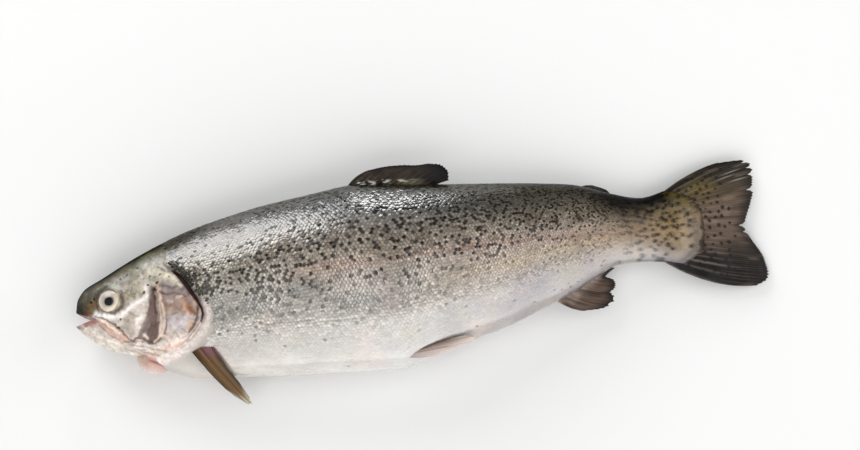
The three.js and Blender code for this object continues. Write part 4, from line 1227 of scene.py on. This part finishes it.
def pelvic_colour(u, v, share, p, crest):
    return layered(
        ramp({0: "b5a8a2", 0.5: "b3a59e", 0.8: "8b7970", 1: "4c3b33"}, u),
        ("d2c6bc", 0.6 * smooth(0.5, 1.0, share)),
        ("755f55", 0.6 * streaks(u, v, 95, across=16, low=0.1, high=0.6)))


DORSAL_COLOUR = dark_fin_colour("372c22", "040408", "100e10", "12100d", 0.85)
ANAL_COLOUR = dark_fin_colour("544339", "0b0908", "241d19", "85766d")
ADIPOSE_COLOUR = dark_fin_colour("201e16", "100f0b", "12110e", "1a1811")
PECTORAL = {"rays": 12, "thick": 1.7, "notch": 0.02, "ragged": 0.04, "colour": pectoral_colour}
PELVIC = {"rays": 9, "colour": pelvic_colour}


def make_fins():
    """The fins, by the solids that they stand for."""
    return {
        "tail_fin": make_fin(
            "tail_membrane", rays=19, thick=2.6, ridge=0.22, notch=0.02, ragged=0.02, seed=7, fan=3,
            tears=8, tear_to=11, wave=0.4, colour=tail_colour, bow=bow_tail,
            root=[(0, 306, 23, 11), (0.14, 314, 21.4, 10.5), (0.32, 318, 16, 10.3), (0.5, 319, 8, 10.2),
                  (0.7, 316, 0, 10.3), (0.86, 309, -5.4, 10.6), (1, 303.6, -9, 11)],
            tip=[(0, 342, 38.8, 6.8), (0.07, 357.6, 38.4, 6), (0.2, 359.6, 30, 5.4), (0.36, 357.4, 17, 5),
                 (0.5, 351.6, 4, 4.8), (0.6, 353.6, -2.4, 4.6), (0.78, 359.4, -13, 4),
                 (0.9, 361.2, -20.6, 3.6), (0.96, 359.6, -25.8, 3.8), (1, 354, -28.2, 4.2)]),
        "dorsal_fin": make_fin(
            "dorsal_membrane", rays=12, thick=1.5, ridge=0.3, seed=3, colour=DORSAL_COLOUR,
            bow=bowed((-2.4, 2.8, 0.8), (0, 0.6, 0.8)),
            root=[(0, *back_at(145, 2)), (0.5, *back_at(166, 2)), (1, *back_at(187, 2))],
            tip=[(0, 159, 53.4, 25), (0.2, 170, 54.4, 26), (0.45, 184, 53, 26.4), (0.7, 194, 52.6, 26),
                 (0.88, 199.6, 48.6, 25), (1, 199.4, 43.4, 23.6)]),
        "anal_fin": make_fin(
            "anal_membrane", rays=11, ridge=0.25, notch=0.04, ragged=0.08, seed=5, tears=3,
            colour=ANAL_COLOUR, bow=bowed((-1, -3, 0), (-0.4, -1.2, 0)),
            root=[(0, *belly_at(246, 2)), (0.5, *belly_at(261, 2)), (1, *belly_at(276, 2))],
            tip=[(0, 262.4, -31.6, 11.6), (0.14, 272.8, -31.2, 10.8), (0.3, 278, -27.4, 10.2),
                 (0.44, 276.4, -23.2, 10.2), (0.54, 279, -21.2, 10.2), (0.72, 278.4, -17, 10.4),
                 (0.84, 274.6, -14.6, 10.8), (1, 279.6, -10.8, 11)]),
        "adipose_fin": make_fin(
            "adipose_lobe", rays=3, thick=1.9, edge=0.9, ridge=0.02, notch=0, ragged=0, seed=9,
            wave=0.1, gloss=0.05, colour=ADIPOSE_COLOUR, bow=bowed((-1.4, 1.4, -0.6), (0, 1.4, -0.6)),
            root=[(0, *back_at(266, 1.6)), (1, *back_at(273.4, 1.6))],
            tip=[(0, 275, 34.2, 6.6), (0.5, 281, 31.6, 6), (1, 283, 29, 6.6)]),
        "pectoral_fin_left": make_fin(
            "pectoral_membrane_left", ridge=0.34, seed=13, bow=bowed((-0.6, -1.6, 16)), **PECTORAL,
            root=[(0, *in_flank(59, -30.6, 1, 1)), (0.5, *in_flank(63.8, -28.8, 1, 1)),
                  (1, *in_flank(70.4, -29.4, 1, 1))],
            tip=[(0, 77, -54, 9), (0.4, 83.4, -58.4, 7), (0.75, 84, -56.2, 8), (1, 82, -51.6, 11)]),
        "pectoral_fin_right": make_fin(
            "pectoral_membrane_right", ridge=0.3, seed=14, bow=bowed((0, -1.2, -2.6)), **PECTORAL,
            root=[(0, 60, -35, 9.2), (0.5, 63.4, -33, 7.6), (1, 66.6, -31.4, 6.4)],
            tip=[(0, 96, -43.6, 3.2), (0.4, 104, -43, 3), (0.7, 102, -39.4, 2.4), (1, 96, -36, 1.9)]),
        "pelvic_fin_left": make_fin(
            "pelvic_membrane_left", seed=17, bow=bowed((-1, -2.4, 3), (-1, 1.2, 3)), **PELVIC,
            root=[(0, *in_flank(168, -46.6, 1, 1)), (0.5, *in_flank(170.6, -44.8, 1, 1)),
                  (1, *in_flank(173.6, -43.2, 1, 1))],
            tip=[(0, 188, -45.4, 28), (0.4, 200, -42.2, 28.4), (0.75, 204, -39.8, 29.4),
                 (1, 197.6, -38.8, 31)]),
        "pelvic_fin_right": make_fin(
            "pelvic_membrane_right", seed=18, bow=bowed((-1, -1.6, -3.4)), **PELVIC,
            root=[(0, 168.4, -45.8, 15.2), (0.5, 172, -43.4, 13.2), (1, 175.6, -41.2, 11.4)],
            tip=[(0, 192, -41.6, 8), (0.4, 202, -38.4, 6.6), (0.75, 202.6, -35, 5.4), (1, 196, -33, 4)])}


# ---- Eyes, mouth and throat ----

# Tones of the eye by distance from its gaze; past the bright ring the rim darkens as painted shade where it
# meets the socket.
IRIS = {0: "04060c", 1.8: "05070d", 2.05: "15171f", 2.3: "66615f", 2.8: "9c958e",
        3.5: "bcb0a0", 4.7: "c9bba6", 5.2: "d8ccbc", 5.7: "8a7f6e", 6.1: "2a221a"}


def make_eye(name, side):
    """An eyeball with its iris and pupil painted round the way it gazes."""
    facing, centre = eye_facing(side), eye_centre(side)
    radii = (EYE["radius"], EYE["radius"], EYE["half"])
    eye = ball(name, centre, radii, facing, rows=70, columns=120, material=EYE_GLOSS)
    p = points_of(eye.data)
    away = p - centre
    gaze = np.array((-0.02, -0.15, side))
    gaze /= np.linalg.norm(gaze)
    off = away - (away @ gaze)[:, None] * gaze
    radius = np.linalg.norm(off * (1, 1.04, 1), axis=1)
    ring = bump(radius - 4, 1.3)
    colour = layered(
        ramp(IRIS, radius + 0.12 * noise(p, 1.2, 101)),
        ("aaa3a0", 0.35 * ring * smooth(0, 4, off[:, 1] - 0.3 * off[:, 0])),
        ("e6d6be", 0.5 * ring * smooth(0, 4, off[:, 0] - off[:, 1])))
    spokes = np.column_stack([np.arctan2(off[:, 1], off[:, 0]) * 6, radius, 0 * radius])
    colour = colour * (1 + 0.07 * noise(spokes, 0.8, 102))[:, None]
    # The eyeball behind its middle takes the same dark, painted shade in the socket.
    colour[away @ facing < 0] = tint("2a221a")
    paint(eye.data, colour, mix(0.35, 0.8, smooth(1.6, 2.6, radius)))
    return eye


def make_mouth():
    """The tongue and the gum behind the lower lip."""
    mid = float(MID_HEIGHT(9))
    tongue = ball("mouth_flesh", (7.4, -9.2, mid), (4.8, 2.5, 7.6), rows=40, columns=60, material=FLESH)
    p = points_of(tongue.data)
    groove = 0.6 * bump(p[:, 2] - mid, 1.2) * smooth(-9, -6, p[:, 1])
    moved = p + np.array((0, 1, 0)) * (0.35 * noise(p, 3, 110) - groove)[:, None]
    tongue.data.vertices.foreach_set("co", metres(moved).ravel())
    colour = ramp({-10: "a0736c", -8: "a5706a", -6: "ac7a74", -4: "b58b84"}, p[:, 1])
    paint(tongue.data, colour * (1 + 0.15 * noise(p, 1.6, 111))[:, None])
    return tongue


ISTHMUS = {"place": (37, -31.4), "radii": (8.6, 6.2, 7.6), "slope": -0.42}


def make_isthmus():
    """The pink flesh that bulges out under the throat, with a red crease along it."""
    lobe = ball("isthmus_flesh", (0, 0, 0), ISTHMUS["radii"], rows=60, columns=90, material=FLESH)
    p = points_of(lobe.data)
    crease = bump(p[:, 1] - 0.2 + 0.08 * p[:, 0], 0.55) * smooth(-5, 2, p[:, 0]) * smooth(8.4, 6, p[:, 0])
    p = p * (1 - 0.09 * crease)[:, None] + 0.3 * noise(p, 4, 120)[:, None] * (0, 1, 1)
    colour = layered(
        ramp({-6: "cdbdb4", -3: "bd9d93", -1: "b98f85", 1: "c0a094", 3: "cec0b6"}, p[:, 1]),
        ("c9bbaa", 0.8 * smooth(-1, -7, p[:, 0])),
        ("93493f", 0.75 * crease))
    c, s = math.cos(ISTHMUS["slope"]), math.sin(ISTHMUS["slope"])
    x, y = ISTHMUS["place"]
    turned = np.column_stack([c * p[:, 0] - s * p[:, 1] + x, s * p[:, 0] + c * p[:, 1] + y,
                              p[:, 2] + float(MID_HEIGHT(x))])
    lobe.data.vertices.foreach_set("co", metres(turned).ravel())
    paint(lobe.data, colour)
    return lobe


# ---- The piece list ----

def own(piece, slot, *nodes):
    """Attach a piece to the root body and hide the solids that it stands for. The slot is not used."""
    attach(piece, "root")
    if nodes:
        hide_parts(*nodes)


own(make_skin(), "flank_skin", "head", "lower_jaw", "gill_cover_left", "gill_cover_right",
    "maxilla_left", "maxilla_right", "torso", "tail_stalk")
for piece in make_all_scales():
    own(piece, "flank_skin")
PALE = ("adipose_fin", "pectoral_fin_left", "pectoral_fin_right", "pelvic_fin_left", "pelvic_fin_right")
for node, piece in make_fins().items():
    own(piece, "pale_fin" if node in PALE else "dark_fin", node)
own(make_eye("eyeball_left", 1), "eye_gloss", "eye_left")
own(make_eye("eyeball_right", -1), "eye_gloss", "eye_right")
own(make_mouth(), "flesh")
own(make_isthmus(), "flesh", "isthmus")


# ---- Floor, light and camera ----

FLOOR_REACH = 6  # metres from the middle to each side of the floor


def make_floor():
    r = FLOOR_REACH
    mesh = bpy.data.meshes.new("floor")
    mesh.from_pydata([(-r, -r, 0), (r, -r, 0), (r, r, 0), (-r, r, 0)], [], [(0, 1, 2, 3)])
    floor = bpy.data.objects.new("floor", mesh)
    bpy.context.scene.collection.objects.link(floor)
    material = bpy.data.materials.new("floor_paper")
    material.use_nodes = True
    surface = material.node_tree.nodes["Principled BSDF"]
    surface.inputs["Base Color"].default_value = (0.78, 0.78, 0.77, 1)
    surface.inputs["Roughness"].default_value = 0.8
    mesh.materials.append(material)


def area_light(name, place, aim, size, power, colour=(1, 1, 1)):
    light = bpy.data.lights.new(name, "AREA")
    light.shape = "RECTANGLE"
    light.size, light.size_y = size
    light.energy = power
    light.color = colour
    lamp = bpy.data.objects.new(name, light)
    bpy.context.scene.collection.objects.link(lamp)
    lamp.location = place
    lamp.rotation_euler = (Vector(aim) - Vector(place)).to_track_quat("-Z", "Y").to_euler()


def make_light():
    area_light("window", (-0.6, 1.15, 0.66), (0, 0, 0.1), (0.75, 1.0), 11)
    area_light("low_window", (0.09, 1.2, 0.33), (0.09, 0, 0.1), (0.28, 0.34), 2.7)
    area_light("front_fill", (0.1, -1.8, 1.2), (0, 0, 0), (4.4, 2.9), 80)
    for k in range(5):
        x = -1.1 + 0.5 * k
        area_light(f"ceiling_{k + 1}", (x, 0.15, 1.6), (x, 0.15, 0), (0.13, 1.0), 1.4)
    area_light("side_fill", (1.7, 0.1, 0.9), (0, 0, 0), (1.2, 1.2), 12)
    world = bpy.data.worlds.new("studio")
    world.use_nodes = True
    world.node_tree.nodes["Background"].inputs["Color"].default_value = (0.95, 0.97, 1.0, 1)
    world.node_tree.nodes["Background"].inputs["Strength"].default_value = 0.18
    bpy.context.scene.world = world
    bpy.context.scene.view_settings.view_transform = "Standard"


CAMERA = {"azimuth": -7, "elevation": 80, "aim": (0.00627, 0.02348, 0.02), "distance": 1.053,
          "lens": 85, "sensor": 36}


def make_camera():
    data = bpy.data.cameras.new("camera")
    data.lens, data.sensor_width = CAMERA["lens"], CAMERA["sensor"]
    camera = bpy.data.objects.new("camera", data)
    bpy.context.scene.collection.objects.link(camera)
    turn, rise = math.radians(CAMERA["azimuth"]), math.radians(CAMERA["elevation"])
    back = Vector((math.sin(turn) * math.cos(rise), -math.cos(turn) * math.cos(rise), math.sin(rise)))
    right = Vector((math.cos(turn), math.sin(turn), 0))
    axes = Matrix((right, back.cross(right), back)).transposed().to_4x4()
    camera.matrix_world = Matrix.Translation(Vector(CAMERA["aim"]) + back * CAMERA["distance"]) @ axes
    bpy.context.scene.camera = camera


make_floor()
make_light()
make_camera()
